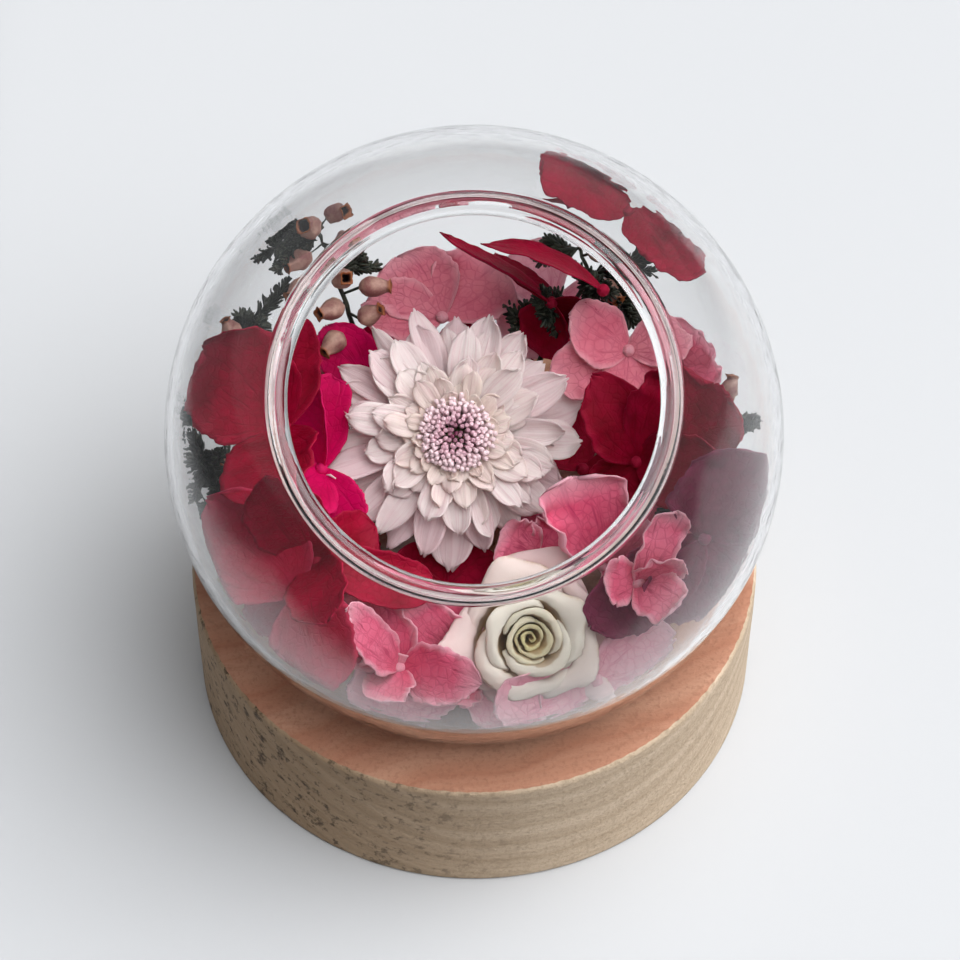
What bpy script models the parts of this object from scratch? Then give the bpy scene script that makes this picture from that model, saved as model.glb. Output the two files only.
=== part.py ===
"""Preserved flower globe: a clear glass globe bowl of dried blooms on a round wood disc.

The origin is the middle of the disc's underside, +Z is up and the bowl's mouth leans towards -Y.
Lengths are written in millimetres and turned into metres as the meshes are made.
"""

import math

import bmesh
import bpy
import numpy as np
from mathutils import Matrix, Vector

MM = 0.001
GAP = 0.3  # clear distance between pieces that touch

# Wood disc
DISC_RADIUS = 48.0
DISC_THICKNESS = 27.5
DISC_EDGE_BREAK = 0.6
DISC_SIDES = 48

# Glass globe
GLOBE_RADIUS = 50.0
GLASS_WALL = 1.4
GLOBE_RISE = 32.6  # globe's centre above the disc's top
FOOT_ROUNDING = 3.0
MOUTH_LEAN = math.radians(29.0)
MOUTH_INNER_RADIUS = 28.9
RIM_BEAD_RADIUS = 1.5
GLOBE_SIDES = 32
GLOBE_RINGS = 7

# Blooms
SLOPE = math.radians(36.3)  # the blooms face up and this far forwards
SEPAL_THICKNESS = 0.9
SEPAL_WIDTHS = ((0.0, 0.35), (0.35, 0.9), (0.7, 1.0), (1.0, 0.45))  # share of length, share of width
FLORET_HEART_RADIUS = 1.3
WALL_LEAN = 0.15  # how far a sepal faces aside, as a share, where it touches the glass
MUM_RADIUS = 22.4
MUM_DEPTH = 9.0
ROSE_RADIUS = 12.3
ROSE_DEPTH = 14.0
STEM_RADIUS = 1.5
TWIG_RADIUS = 0.55
STALK_RADIUS = 0.4
BELL_LENGTH = 4.6
BELL_RADIUS = 1.9

DISC_TOP = DISC_THICKNESS
GLOBE_CENTRE = Vector((0.0, 0.0, DISC_TOP + GAP + GLOBE_RISE))
INNER_RADIUS = GLOBE_RADIUS - GLASS_WALL
INNER_FLOOR = -GLOBE_RISE + GLASS_WALL  # height from the globe's centre
BLOOM_REACH = INNER_RADIUS - GAP - SEPAL_THICKNESS / 2 - 0.3
BLOOM_FLOOR = INNER_FLOOR + GAP + SEPAL_THICKNESS / 2 + 0.3

# The blooms' own directions: to the right, up the slope, and out towards the mouth.
RIGHT = Vector((1.0, 0.0, 0.0))
UP_SLOPE = Vector((0.0, math.cos(SLOPE), math.sin(SLOPE)))
OUTWARD = Vector((0.0, -math.sin(SLOPE), math.cos(SLOPE)))


def clear_scene():
    for old in list(bpy.data.objects):
        bpy.data.objects.remove(old, do_unlink=True)


def material(name, colour, roughness, transmission=0.0, ior=1.5):
    made = bpy.data.materials.new(name)
    made.use_nodes = True
    shader = made.node_tree.nodes["Principled BSDF"]
    shader.inputs["Base Color"].default_value = (*colour, 1.0)
    shader.inputs["Roughness"].default_value = roughness
    shader.inputs["Metallic"].default_value = 0.0
    shader.inputs["Transmission Weight"].default_value = transmission
    shader.inputs["IOR"].default_value = ior
    made.diffuse_color = (*colour, 1.0)
    return made


def add_object(name, points, faces, look):
    """An object from points in millimetres around the globe's centre, its faces turned outwards."""
    mesh = bpy.data.meshes.new(name)
    mesh.from_pydata([(Vector(p) + GLOBE_CENTRE) * MM for p in points], [], faces)
    work = bmesh.new()
    work.from_mesh(mesh)
    bmesh.ops.recalc_face_normals(work, faces=work.faces)
    work.to_mesh(mesh)
    work.free()
    mesh.materials.append(look)
    made = bpy.data.objects.new(name, mesh)
    bpy.context.scene.collection.objects.link(made)
    return made


def boolean(target, other, operation):
    """Joins other to target, or cuts it away, and keeps the result as target's mesh."""
    step = target.modifiers.new(operation.title(), "BOOLEAN")
    step.operation = operation
    step.solver = "EXACT"
    step.object = other
    solved = target.evaluated_get(bpy.context.evaluated_depsgraph_get())
    mesh = bpy.data.meshes.new_from_object(solved)
    target.modifiers.remove(step)
    mesh.name = target.name
    target.data = mesh


def joined(name, bodies, look):
    """One object from closed bodies (points, faces) that run into each other."""
    whole = add_object(name, *bodies[0], look)
    for points, faces in bodies[1:]:
        extra = add_object("extra", points, faces, look)
        boolean(whole, extra, "UNION")
        bpy.data.objects.remove(extra, do_unlink=True)
    return whole


def tidied(mesh, merge):
    """A mesh's largest body, its nearly coincident points made one, and whether it is closed."""
    work = bmesh.new()
    work.from_mesh(mesh)
    bmesh.ops.remove_doubles(work, verts=work.verts, dist=merge * MM)
    bmesh.ops.dissolve_degenerate(work, dist=merge * MM, edges=work.edges)
    left = set(work.faces)
    kept, most = set(), 0.0
    while left:
        group = {left.pop()}
        front = list(group)
        while front:
            near = {face for one in front for edge in one.edges for face in edge.link_faces}
            front = [face for face in near if face not in group]
            group.update(front)
        left -= group
        area = sum(face.calc_area() for face in group)
        if area > most:
            kept, most = group, area
    bmesh.ops.delete(work, geom=[face for face in work.faces if face not in kept], context="FACES")
    closed = all(len(edge.link_faces) == 2 for edge in work.edges)
    return work, closed


def keep_largest_body(target):
    """Takes away the crumbs that a cut leaves, and the points that it leaves on top of each other."""
    for merge in (0.005, 0.001, 0.0001):
        work, closed = tidied(target.data, merge)
        if closed:
            break
        work.free()
    work.to_mesh(target.data)
    work.free()


def slope_point(right, up, out):
    return RIGHT * right + UP_SLOPE * up + OUTWARD * out


def held_in_bowl(point, margin=0.0):
    """The point moved inwards where it would touch the bowl's wall or floor."""
    reach = BLOOM_REACH - margin
    if point.length > reach:
        point = point * (reach / point.length)
    return Vector((point.x, point.y, max(point.z, BLOOM_FLOOR + margin)))


def ring(radius, height, lean, sides):
    """A circle about the globe's centre line, leant forwards about X."""
    tilt = Matrix.Rotation(lean, 3, "X")
    angles = [2 * math.pi * i / sides for i in range(sides)]
    return [tilt @ Vector((radius * math.cos(a), radius * math.sin(a), height)) for a in angles]


def skinned(rings):
    """Faces around a run of rings that have equal numbers of points, closed at both ends."""
    sides = len(rings[0])
    points = [p for one in rings for p in one]
    faces = []
    for i in range(len(rings) - 1):
        for j in range(sides):
            k = (j + 1) % sides
            faces.append((i * sides + j, i * sides + k, (i + 1) * sides + k, (i + 1) * sides + j))
    last = (len(rings) - 1) * sides
    faces.append(tuple(range(sides)))
    faces.append(tuple(last + j for j in range(sides)))
    return points, faces


def smooth(target, angle=40.0):
    target.data.shade_smooth()
    target.data.set_sharp_from_angle(angle=math.radians(angle))


def wood_disc():
    """A thick slice of a trunk, sawn flat, with its edges just broken."""
    low = -GLOBE_CENTRE.z
    high = low + DISC_THICKNESS
    inset = DISC_RADIUS - DISC_EDGE_BREAK
    rings = [
        ring(inset, low, 0.0, DISC_SIDES),
        ring(DISC_RADIUS, low + DISC_EDGE_BREAK, 0.0, DISC_SIDES),
        ring(DISC_RADIUS, high - DISC_EDGE_BREAK, 0.0, DISC_SIDES),
        ring(inset, high, 0.0, DISC_SIDES),
    ]
    disc = add_object("wood_base", *skinned(rings), material("sawn_wood", (0.50, 0.36, 0.24), 0.75))
    smooth(disc)


def wall_rings(radius, foot_rounding):
    """Circles on a sphere from the leaning mouth to the level foot, and the foot's rounded corner."""
    floor = -GLOBE_RISE + (GLOBE_RADIUS - radius)
    mouth_angle = math.asin(MOUTH_INNER_RADIUS / INNER_RADIUS) + RIM_BEAD_RADIUS / GLOBE_RADIUS
    corner_height = floor + foot_rounding
    corner_middle = math.sqrt((radius - foot_rounding) ** 2 - corner_height ** 2)
    foot_angle = math.pi / 2 + math.atan2(-corner_height, corner_middle)
    rings = []
    for i in range(GLOBE_RINGS + 1):
        share = i / GLOBE_RINGS
        angle = mouth_angle + (foot_angle - mouth_angle) * share
        lean = MOUTH_LEAN * (1 - share) ** 1.5
        rings.append(ring(radius * math.sin(angle), radius * math.cos(angle), lean, GLOBE_SIDES))
    for share in (0.4, 0.7, 1.0):
        angle = foot_angle + (math.pi - foot_angle) * share
        out = corner_middle + foot_rounding * math.sin(angle)
        rings.append(ring(out, corner_height + foot_rounding * math.cos(angle), 0.0, GLOBE_SIDES))
    return rings


def rim_rings():
    """The fire-polished bead round the mouth, from the outer wall over to the inner one."""
    mouth_angle = math.asin(MOUTH_INNER_RADIUS / INNER_RADIUS) + RIM_BEAD_RADIUS / GLOBE_RADIUS
    middle_radius = GLOBE_RADIUS - GLASS_WALL / 2
    bead_angle = mouth_angle - 0.8 * RIM_BEAD_RADIUS / GLOBE_RADIUS
    rings = []
    for turn in (-50.0, 0.0, 60.0, 120.0, 180.0, 230.0):
        around = math.radians(turn)
        radius = middle_radius + RIM_BEAD_RADIUS * math.cos(around)
        angle = bead_angle - RIM_BEAD_RADIUS * math.sin(around) / middle_radius
        rings.append(ring(radius * math.sin(angle), radius * math.cos(angle), MOUTH_LEAN, GLOBE_SIDES))
    return rings


def glass_globe():
    """One blown wall: outer skin from the foot up, over the rim bead and down the inner skin."""
    outer = wall_rings(GLOBE_RADIUS, FOOT_ROUNDING)
    inner = wall_rings(INNER_RADIUS, FOOT_ROUNDING)
    rings = outer[::-1] + rim_rings() + inner
    clear = material("clear_glass", (0.95, 0.97, 0.97), 0.02, transmission=1.0, ior=1.47)
    globe = add_object("glass_bowl", *skinned(rings), clear)
    smooth(globe, 60.0)


def sepal_body(heart, tip, width, roll, arch, grow):
    """One sepal as a thin closed slab from the floret's heart to its tip.

    Along the sepal s runs from 0 to 1 and across it q runs from -1 to 1. The middle surface is
    heart + s L t + q w(s)/2 b + 4 arch s (1 - s) n, held clear of the bowl, and the slab lies
    half its thickness to each side of it. It faces out of the mouth, a little more to the side the
    nearer it lies to the glass, and roll turns it about its own length.
    """
    along = tip - heart
    length = along.length + grow
    along = along.normalized()
    facing = OUTWARD + (heart + tip) * WALL_LEAN / BLOOM_REACH
    facing = (facing - along * facing.dot(along)).normalized()
    facing = Matrix.Rotation(math.radians(roll), 3, along) @ facing
    side = facing.cross(along)
    half = SEPAL_THICKNESS / 2 + grow
    fronts, backs = [], []
    for share, part in SEPAL_WIDTHS:
        for across in (-1, 0, 1):
            spread = across * (part * width / 2 + grow)
            rise = 4 * arch * share * (1 - share)
            middle = held_in_bowl(heart + along * length * share + side * spread + facing * rise)
            fronts.append(middle + facing * half)
            backs.append(middle - facing * half)
    rows = len(SEPAL_WIDTHS)
    points = fronts + backs
    count = len(fronts)
    faces = []
    for i in range(rows - 1):
        for j in range(2):
            a, b, c, d = i * 3 + j, i * 3 + j + 1, (i + 1) * 3 + j + 1, (i + 1) * 3 + j
            faces.append((a, b, c, d))
            faces.append((count + d, count + c, count + b, count + a))
    border = [0, 1, 2] + [i * 3 + 2 for i in range(1, rows)]
    border += [(rows - 1) * 3 + 1] + [i * 3 for i in range(rows - 1, 0, -1)]
    for first, second in zip(border, border[1:] + border[:1]):
        faces.append((second, first, count + first, count + second))
    return points, faces


def heart_body(place, radius):
    """A small faceted ball: the floret's centre, where its sepals grow together."""
    rings = [
        ring(radius * math.cos(a), radius * math.sin(a), 0.0, 5)
        for a in (math.radians(-55), 0.0, math.radians(55))
    ]
    points, faces = skinned(rings)
    return [place + p for p in points], faces


def floret_bodies(row, grow=0.0):
    heart = held_in_bowl(slope_point(*row["heart"]), 1.0)
    bodies = [heart_body(heart, FLORET_HEART_RADIUS + grow)]
    for number, (right, up, out, width, roll, arch) in enumerate(row["sepals"]):
        tip = held_in_bowl(slope_point(right, up, out))
        start = heart + OUTWARD * 0.07 * (number - 1.5)
        bodies.append(sepal_body(start, tip, width, roll, arch, grow))
    return bodies


def slope_ring(middle, radii, out):
    sides = len(radii)
    points = []
    for i, radius in enumerate(radii):
        angle = 2 * math.pi * i / sides
        points.append(middle + RIGHT * radius * math.cos(angle) + UP_SLOPE * radius * math.sin(angle) + OUTWARD * out)
    return points


def stem_body(start, radius):
    """A cut stem straight down to the bowl's floor."""
    low = BLOOM_FLOOR - SEPAL_THICKNESS / 2
    tops = [Vector((p.x, p.y, 0.0)) for p in ring(radius, 0.0, 0.0, 8)]
    rings = [
        [p + Vector((start.x, start.y, low)) for p in tops],
        [p + Vector((start.x, start.y, start.z)) for p in tops],
    ]
    return skinned(rings)


MUM_PLACE = (-2.9, 0.1, -5.0)
MUM_LOBES = 14


def mum_bodies(grow=0.0):
    """The large double bloom: rows of rounded petals that slope back from a raised button."""
    middle = slope_point(*MUM_PLACE)
    wave = [1.0, 0.0] * MUM_LOBES

    def lobed(radius, depth):
        return [radius + depth * w + grow for w in wave]

    rings = [
        slope_ring(middle, lobed(2.2, 0.0), -MUM_DEPTH - grow),
        slope_ring(middle, lobed(9.0, 0.0), -6.0 - grow),
        slope_ring(middle, lobed(MUM_RADIUS - 3.2, 3.2), -3.4 - grow),
        slope_ring(middle, lobed(MUM_RADIUS - 3.4, 3.2), -1.9 + grow),
        slope_ring(middle, lobed(13.0, 2.0), 1.2 + grow),
        slope_ring(middle, lobed(7.6, 0.6), 2.6 + grow),
        slope_ring(middle, lobed(5.2, 0.0), 4.6 + grow),
        slope_ring(middle, lobed(2.0, 0.0), 5.2 + grow),
    ]
    stem_start = middle - OUTWARD * (MUM_DEPTH - 2.0)
    return [skinned(rings), stem_body(stem_start, STEM_RADIUS + grow)]


ROSE_PLACE = (8.0, -32.0, 0.0)
ROSE_SIDES = 15


def rose_bodies(grow=0.0):
    """A small cream rose: a cup of wrapped petals around a tight heart, on its calyx."""
    middle = slope_point(*ROSE_PLACE)
    wave = [0.5 + 0.5 * math.cos(2 * math.pi * i / 3) for i in range(ROSE_SIDES)]

    def wrapped(radius, depth):
        return [radius + depth * w + grow for w in wave]

    rings = [
        slope_ring(middle, wrapped(2.0, 0.0), -ROSE_DEPTH + 6.0 - grow),
        slope_ring(middle, wrapped(7.5, 0.0), -5.0 - grow),
        slope_ring(middle, wrapped(ROSE_RADIUS - 1.6, 1.6), 0.5 - grow),
        slope_ring(middle, wrapped(ROSE_RADIUS - 2.0, 1.6), 2.4 + grow),
        slope_ring(middle, wrapped(8.6, 0.8), 3.2 + grow),
        slope_ring(middle, wrapped(6.6, 0.4), 6.0 + grow),
        slope_ring(middle, wrapped(2.6, 0.0), 5.4 + grow),
    ]
    stem_start = middle - OUTWARD * (ROSE_DEPTH - 8.0)
    return [skinned(rings), stem_body(stem_start, STEM_RADIUS + grow)]


def rod_body(path, radius, sides=4):
    """A bent rod along a path, for twigs and bell stalks."""
    rings = []
    for i, place in enumerate(path):
        along = (path[min(i + 1, len(path) - 1)] - path[max(i - 1, 0)]).normalized()
        first = RIGHT.cross(along).normalized()
        second = along.cross(first)
        turns = [2 * math.pi * j / sides for j in range(sides)]
        rings.append([place + first * radius * math.cos(a) + second * radius * math.sin(a) for a in turns])
    return skinned(rings)


def urn_body(base, along, grow):
    """A heather bell: an urn that is widest below the middle and narrows to a small mouth."""
    first = along.orthogonal().normalized()
    second = along.cross(first)
    rings = []
    for share, wide in ((-0.05, 0.35), (0.35, 1.0), (1.0, 0.45)):
        turns = [2 * math.pi * i / 5 for i in range(5)]
        radius = wide * BELL_RADIUS + grow
        place = base + along * (share * (BELL_LENGTH + 2 * grow) - grow)
        rings.append([place + first * radius * math.cos(a) + second * radius * math.sin(a) for a in turns])
    return skinned(rings)


def spindle_body(base, tip, radius, grow):
    """A leafy tuft: the form that its many needles fill."""
    along = (tip - base).normalized()
    first = along.orthogonal().normalized()
    second = along.cross(first)
    length = (tip - base).length + grow
    rings = []
    for share, wide in ((0.0, 0.3), (0.45, 1.0), (1.0, 0.3)):
        turns = [2 * math.pi * i / 4 for i in range(4)]
        reach = wide * radius + grow
        place = base + along * length * share
        rings.append([place + first * reach * math.cos(a) + second * reach * math.sin(a) for a in turns])
    return skinned(rings)


def nearest_on(path, place):
    """The twig's point nearest to a bell or a tuft, a little further down the twig."""
    best = None
    for start, end in zip(path, path[1:]):
        along = end - start
        share = max(0.0, min(1.0, (place - start).dot(along) / along.length_squared))
        spot = start + along * share
        if best is None or (place - spot).length < (place - best).length:
            best = spot
    return best


def sprig_bodies(row, grow=0.0):
    """A heather sprig: a bent twig, its bells on short stalks, and its leafy tufts."""
    path = [held_in_bowl(slope_point(*place), 0.8) for place in row["twig"]]
    bodies = [rod_body(path, TWIG_RADIUS + grow)]
    for place in row["bells"]:
        middle = held_in_bowl(slope_point(*place), 3.0)
        root = nearest_on(path, middle)
        along = (middle - root).normalized()
        bodies.append(rod_body([root, middle], STALK_RADIUS + grow, 3))
        bodies.append(urn_body(middle - along * BELL_LENGTH / 2, along, grow))
    for place in row["tufts"]:
        tip = held_in_bowl(slope_point(*place), 1.5)
        root = nearest_on(path, tip)
        bodies.append(spindle_body(root, tip, row["tuft_radius"], grow))
    return bodies


# Hydrangea florets. A place is (right, up the slope, out towards the mouth) from the globe's centre.
# A sepal is its tip's place, its width, its roll about its own length and how far its middle arches out.
CRIMSON = (0.20, 0.004, 0.018)
MAGENTA = (0.38, 0.004, 0.075)
PINK = (0.60, 0.16, 0.26)
PALE_PINK = (0.72, 0.40, 0.46)
ROSE_CRIMSON = (0.30, 0.03, 0.07)
MAUVE = (0.22, 0.05, 0.09)
SOFT_PINK = (0.66, 0.26, 0.34)

FLORETS = {
    "crimson_floret_right": {
        "colour": CRIMSON,
        "heart": (26.4, -4.4, -3),
        "sepals": ((19.7, 9.6, 3, 11.5, 0, 1), (40.9, 6.7, 6, 19, 0, 1),
                   (22.4, -11.4, -5, 11, 0, 0), (40.3, -6.8, 8, 13, 10, 1)),
    },
    "pink_floret_centre": {
        "colour": PINK,
        "heart": (20.7, -21.1, -2),
        "sepals": ((15.9, -5.9, 7, 16.5, 0, 1.5), (26.6, -13.3, 6, 9, 20, 1),
                   (28.4, -23.2, 0, 10, 0, 0)),
    },
    "pink_floret_lower_right": {
        "colour": PINK,
        "heart": (26.1, -23.7, 8),
        "sepals": ((31.1, -10.9, 12, 7.5, 10, 1), (20.1, -23.5, 13, 8, 0, 0),
                   (33.0, -28.9, 14, 9, -10, 1), (31.9, -19.8, 14, 8, 30, 0)),
    },
    "pink_floret_lower_left": {
        "colour": PINK,
        "heart": (-12.1, -37.4, 2),
        "sepals": ((-20.1, -24.1, 6, 14, 0, 1), (-21.7, -28.8, 16, 8, 45, 1),
                   (0.9, -39.0, 10, 10, -15, 1), (-16.2, -43.1, 8, 9, 40, 0)),
    },
    "pink_floret_lower_middle": {
        "colour": PINK,
        "heart": (-2.7, -34.4, -2),
        "sepals": ((-10.7, -26.1, 6, 9, 0, 1), (-3.9, -25.6, 2, 9, 0, 0),
                   (-5.3, -43.6, 2, 12, 0, 0)),
    },
    "crimson_floret_lower_left": {
        "colour": CRIMSON,
        "heart": (-25.0, -19.9, 12),
        "sepals": ((-6.2, -25.9, 8, 9, -25, 0), (-31.8, -5.9, 34.8, 13, 0, 1),
                   (-23.4, -30.2, 28.2, 11, 0, 1), (-16.2, -15.3, 3, 10, 0, 0)),
    },
    "magenta_floret_left": {
        "colour": MAGENTA,
        "heart": (-25.0, -5.4, -7),
        "sepals": ((-27.6, 13.4, -2, 8, -30, 1), (-24.4, 10.1, -8, 8.5, 0, 1),
                   (-21.3, -16.0, -5, 10, 0, 1), (-33.9, -14.4, 2, 14, 0, 1)),
    },
    "crimson_floret_left": {
        "colour": CRIMSON,
        "heart": (-30.3, 1.3, 5.6),
        "sepals": ((-42.7, 13.4, 15.8, 19, 0, 1), (-30.0, 18.4, -1, 12, 0, 1),
                   (-32.1, -10.7, 26, 15, 0, 1)),
    },
    "rose_floret_left": {
        "colour": ROSE_CRIMSON,
        "heart": (-27.8, -24.8, 12),
        "sepals": ((-41.1, -10.5, 21.4, 17, 0, 1), (-20.8, -39.8, 15.6, 14, 0, 1),
                   (-36.5, -31.3, 0.0, 8, 0, 0)),
    },
    "mauve_floret_right": {
        "colour": MAUVE,
        "heart": (36.6, -16.7, 8),
        "sepals": ((44.5, -0.7, 16.7, 18, 0, 1), (36.9, -34.4, 0.0, 21, 0, 1),
                   (19.0, -31.5, 6, 12, 0, 0)),
    },
    "pink_floret_upper_right": {
        "colour": SOFT_PINK,
        "heart": (25.5, 14.0, -11),
        "sepals": ((14.9, 18.0, -8, 11, 0, 1), (12.7, 9.5, -9, 10.5, 0, 1),
                   (26.6, 6.0, -8, 9.5, 0, 0), (35.6, 16.8, -9, 9, 0, 1)),
    },
    "pink_floret_far_right": {
        "colour": PINK,
        "heart": (33.1, 11.3, -18),
        "sepals": ((29.4, 19.3, -18, 12, 0, 1), (38.8, 16.9, -14, 13, 0, 1),
                   (39.9, 5.7, -12, 13, 0, 1)),
    },
    "crimson_floret_blades": {
        "colour": CRIMSON,
        "heart": (12.8, 22.0, -12),
        "sepals": ((-6.2, 32.3, -6, 8, 62, 1), (22.0, 17.8, -11, 9, 55, 0),
                   (3.9, 30.0, -18, 8, 50, 0), (11.0, 13.8, -18, 10, 25, 0)),
    },
    "crimson_petal_upper": {
        "colour": CRIMSON,
        "heart": (21.1, 23.6, -4),
        "sepals": ((1.7, 31.0, 0, 10, 58, 1.5),),
    },
    "crimson_floret_top": {
        "colour": CRIMSON,
        "heart": (25.7, 37.0, -8),
        "sepals": ((11.1, 45.9, 0, 12, 0, 1), (38.1, 27.1, 0, 11.5, 0, 1),
                   (7.5, 39.4, -10, 7, 70, 0)),
    },
    "pale_floret_upper_left": {
        "colour": SOFT_PINK,
        "heart": (-5.3, 20.0, -20),
        "sepals": ((-12.7, 30.5, -22, 15, 0, 1), (3.3, 29.5, -24, 15, 0, 1),
                   (-18.4, 21.9, -18, 11, 0, 0)),
    },
    "pale_floret_upper": {
        "colour": PALE_PINK,
        "heart": (13.2, 22.3, -28),
        "sepals": ((7.2, 32.5, -28, 12, 0, 1), (24.3, 18.7, -27, 13, 0, 1),
                   (4.6, 17.4, -29, 12, 0, 0)),
    },
    "deep_pink_floret_upper_left": {
        "colour": MAGENTA,
        "heart": (-17.5, 9.0, -19),
        "sepals": ((-24.2, 19.0, -17, 10, 0, 1), (-13.3, 17.2, -22, 10, 0, 0),
                   (-25.3, 4.2, -20, 10, 0, 0)),
    },
    "pink_floret_frilled": {
        "colour": PINK,
        "heart": (10.3, -19.7, -8),
        "sepals": ((4.4, -15.8, -6, 9, 0, 0), (15.5, -15.6, -8, 9, 0, 0)),
    },
    "crimson_floret_under_rose": {
        "colour": CRIMSON,
        "heart": (-4.8, -25.0, -12),
        "sepals": ((-14.1, -20.2, -12, 12, 0, 0), (4.0, -21.8, -14, 11, 0, 0)),
    },
    "crimson_floret_behind": {
        "colour": CRIMSON,
        "heart": (18.0, -5.5, -15),
        "sepals": ((12.5, 5.1, -16, 12, 0, 0), (27.6, -10.9, -14, 13, 0, 0)),
    },
    "pale_floret_floor_left": {
        "colour": PALE_PINK,
        "heart": (-1.6, -41.9, 0),
        "sepals": ((-20.8, -40.2, 2, 13, 0, 0), (10.6, -44.8, 3, 11, 0, 0)),
    },
    "pale_floret_floor_right": {
        "colour": PALE_PINK,
        "heart": (19.6, -39.6, 2),
        "sepals": ((32.6, -33.6, 3, 13, 0, 0), (3.1, -44.2, 6, 11, 0, 0)),
    },
    "crimson_floret_back": {
        "colour": CRIMSON,
        "heart": (0.0, 7.3, -35),
        "sepals": ((-12.9, 13.2, -33, 14, 0, 0), (12.0, 10.3, -34, 13, 0, 0),
                   (0.0, 19.9, -35, 13, 0, 0)),
    },
    "pink_floret_back_left": {
        "colour": PINK,
        "heart": (-23.8, 3.9, -28),
        "sepals": ((-34.7, 9.1, -25, 13, 0, 0), (-24.7, 15.1, -28, 13, 0, 0),
                   (-30.7, -6.3, -25, 13, 0, 0)),
    },
    "crimson_floret_back_right": {
        "colour": CRIMSON,
        "heart": (26.0, 0.9, -28),
        "sepals": ((36.9, 6.2, -24, 13, 0, 0), (26.1, 11.2, -31, 13, 0, 0),
                   (32.9, -9.2, -23, 13, 0, 0)),
    },
    "pink_floret_floor_middle": {
        "colour": PINK,
        "heart": (5.9, -9.2, -26),
        "sepals": ((-8.2, -13.1, -24, 13, 0, 0), (18.2, -15.3, -20, 13, 0, 0)),
    },
    "crimson_floret_floor_left": {
        "colour": CRIMSON,
        "heart": (-21.6, -14.2, -17),
        "sepals": ((-34.0, -11.9, -14, 14, 0, 0), (-21.3, -27.1, -10, 13, 0, 0)),
    },
    "pink_floret_floor_right": {
        "colour": PINK,
        "heart": (26.2, -18.0, -13),
        "sepals": ((37.0, -15.0, -11, 13, 0, 0), (26.0, -29.8, -7, 13, 0, 0)),
    },
}

SPRIGS = {
    "heather_upper_left": {
        "twig": ((-17.8, 2.6, -29.0), (-18.5, 13.2, -23.0), (-20.9, 21.2, -16.0), (-24.0, 29.7, -12.0),
                 (-25.8, 34.0, -10.0)),
        "bells": ((-22.6, 37.0, -8.0), (-27.0, 34.2, -4.0), (-20.8, 32.0, -7.0), (-29.0, 28.8, -8.0),
                  (-28.8, 24.2, -9.0), (-16.4, 24.8, -13.0), (-21.5, 26.0, -10.0), (-17.0, 20.4, -15.0),
                  (-23.8, 21.0, -14.0), (-23.6, 15.4, -16.0), (-22.7, 11.1, -19.0)),
        "tufts": ((-29.0, 35.0, -9.0), (-30.5, 31.8, -9.0), (-20.0, 28.6, -15.0)),
        "tuft_radius": 1.6,
    },
    "heather_upper_right": {
        "twig": ((9.5, 8.0, -24.0), (11.2, 13.4, -23.0), (15.4, 19.8, -20.0), (19.3, 26.7, -17.0), (17.6, 31.4, -15.0)),
        "bells": ((21.5, 30.5, -14.0), (22.5, 24.0, -15.0)),
        "tufts": ((14.0, 30.0, -15.0), (26.5, 28.6, -15.0), (26.5, 21.5, -16.0), (8.5, 18.6, -21.0), (21.0, 24.5, -12.0),
                  (13.0, 21.5, -14.0)),
        "tuft_radius": 2.0,
    },
    "heather_left": {
        "twig": ((-37.0, -14.0, -13.0), (-40.5, -7.0, -13.0), (-42.0, 1.0, -13.0), (-41.5, 9.0, -12.0), (-39.5, 16.5, -12.0)),
        "bells": ((-40.5, 18.0, -8.0), (-42.0, 7.0, -9.0), (-42.0, -5.0, -9.0)),
        "tufts": ((-36.5, 19.5, -13.0), (-45.5, 5.0, -4.0), (-45.5, -4.0, -2.0), (-43.0, -12.0, -1.0), (-39.5, -17.0, -3.0),
                  (-39.0, 3.0, -17.0)),
        "tuft_radius": 2.0,
    },
    "heather_right": {
        "twig": ((36.0, -9.0, -10.0), (39.5, -4.0, -10.0), (42.0, 1.0, -10.0), (42.8, 5.0, -9.0)),
        "bells": ((42.5, 8.0, -9.0), (40.0, 2.5, -7.0)),
        "tufts": ((44.0, 2.0, -7.0), (33.0, -12.0, -7.0)),
        "tuft_radius": 1.5,
    },
}


def boxes_meet(first, second):
    reach = []
    for one in (first, second):
        corners = np.array([v.co[:] for v in one.data.vertices])
        reach.append((corners.min(axis=0), corners.max(axis=0)))
    (low, high), (other_low, other_high) = reach
    return bool(np.all(low < other_high) and np.all(other_low < high))


def plan_of_blooms():
    """Every bloom in the order in which it was set: what comes later gives way to what is there."""
    cream = material("cream_petals", (0.82, 0.76, 0.66), 0.6)
    blush = material("blush_petals", (0.80, 0.62, 0.62), 0.6)
    twig = material("dried_heather", (0.24, 0.15, 0.10), 0.8)
    plan = [("chrysanthemum", mum_bodies, blush), ("rose", rose_bodies, cream)]
    for name, row in FLORETS.items():
        sheet = material(name + "_sepals", row["colour"], 0.55)
        plan.append((name, lambda grow=0.0, row=row: floret_bodies(row, grow), sheet))
        if name == "crimson_floret_top":
            for sprig, details in SPRIGS.items():
                plan.append((sprig, lambda grow=0.0, row=details: sprig_bodies(row, grow), twig))
    return plan


def arrangement():
    """Makes each bloom and cuts it back where it would run through one that is already there."""
    guards = []
    for name, bodies_of, look in plan_of_blooms():
        bloom = joined(name, bodies_of(), look)
        for guard in guards:
            if boxes_meet(bloom, guard):
                boolean(bloom, guard, "DIFFERENCE")
        keep_largest_body(bloom)
        smooth(bloom)
        guards.append(joined("guard", bodies_of(grow=GAP), look))
    for guard in guards:
        bpy.data.objects.remove(guard, do_unlink=True)


clear_scene()
wood_disc()
glass_globe()
arrangement()
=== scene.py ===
import math

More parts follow.
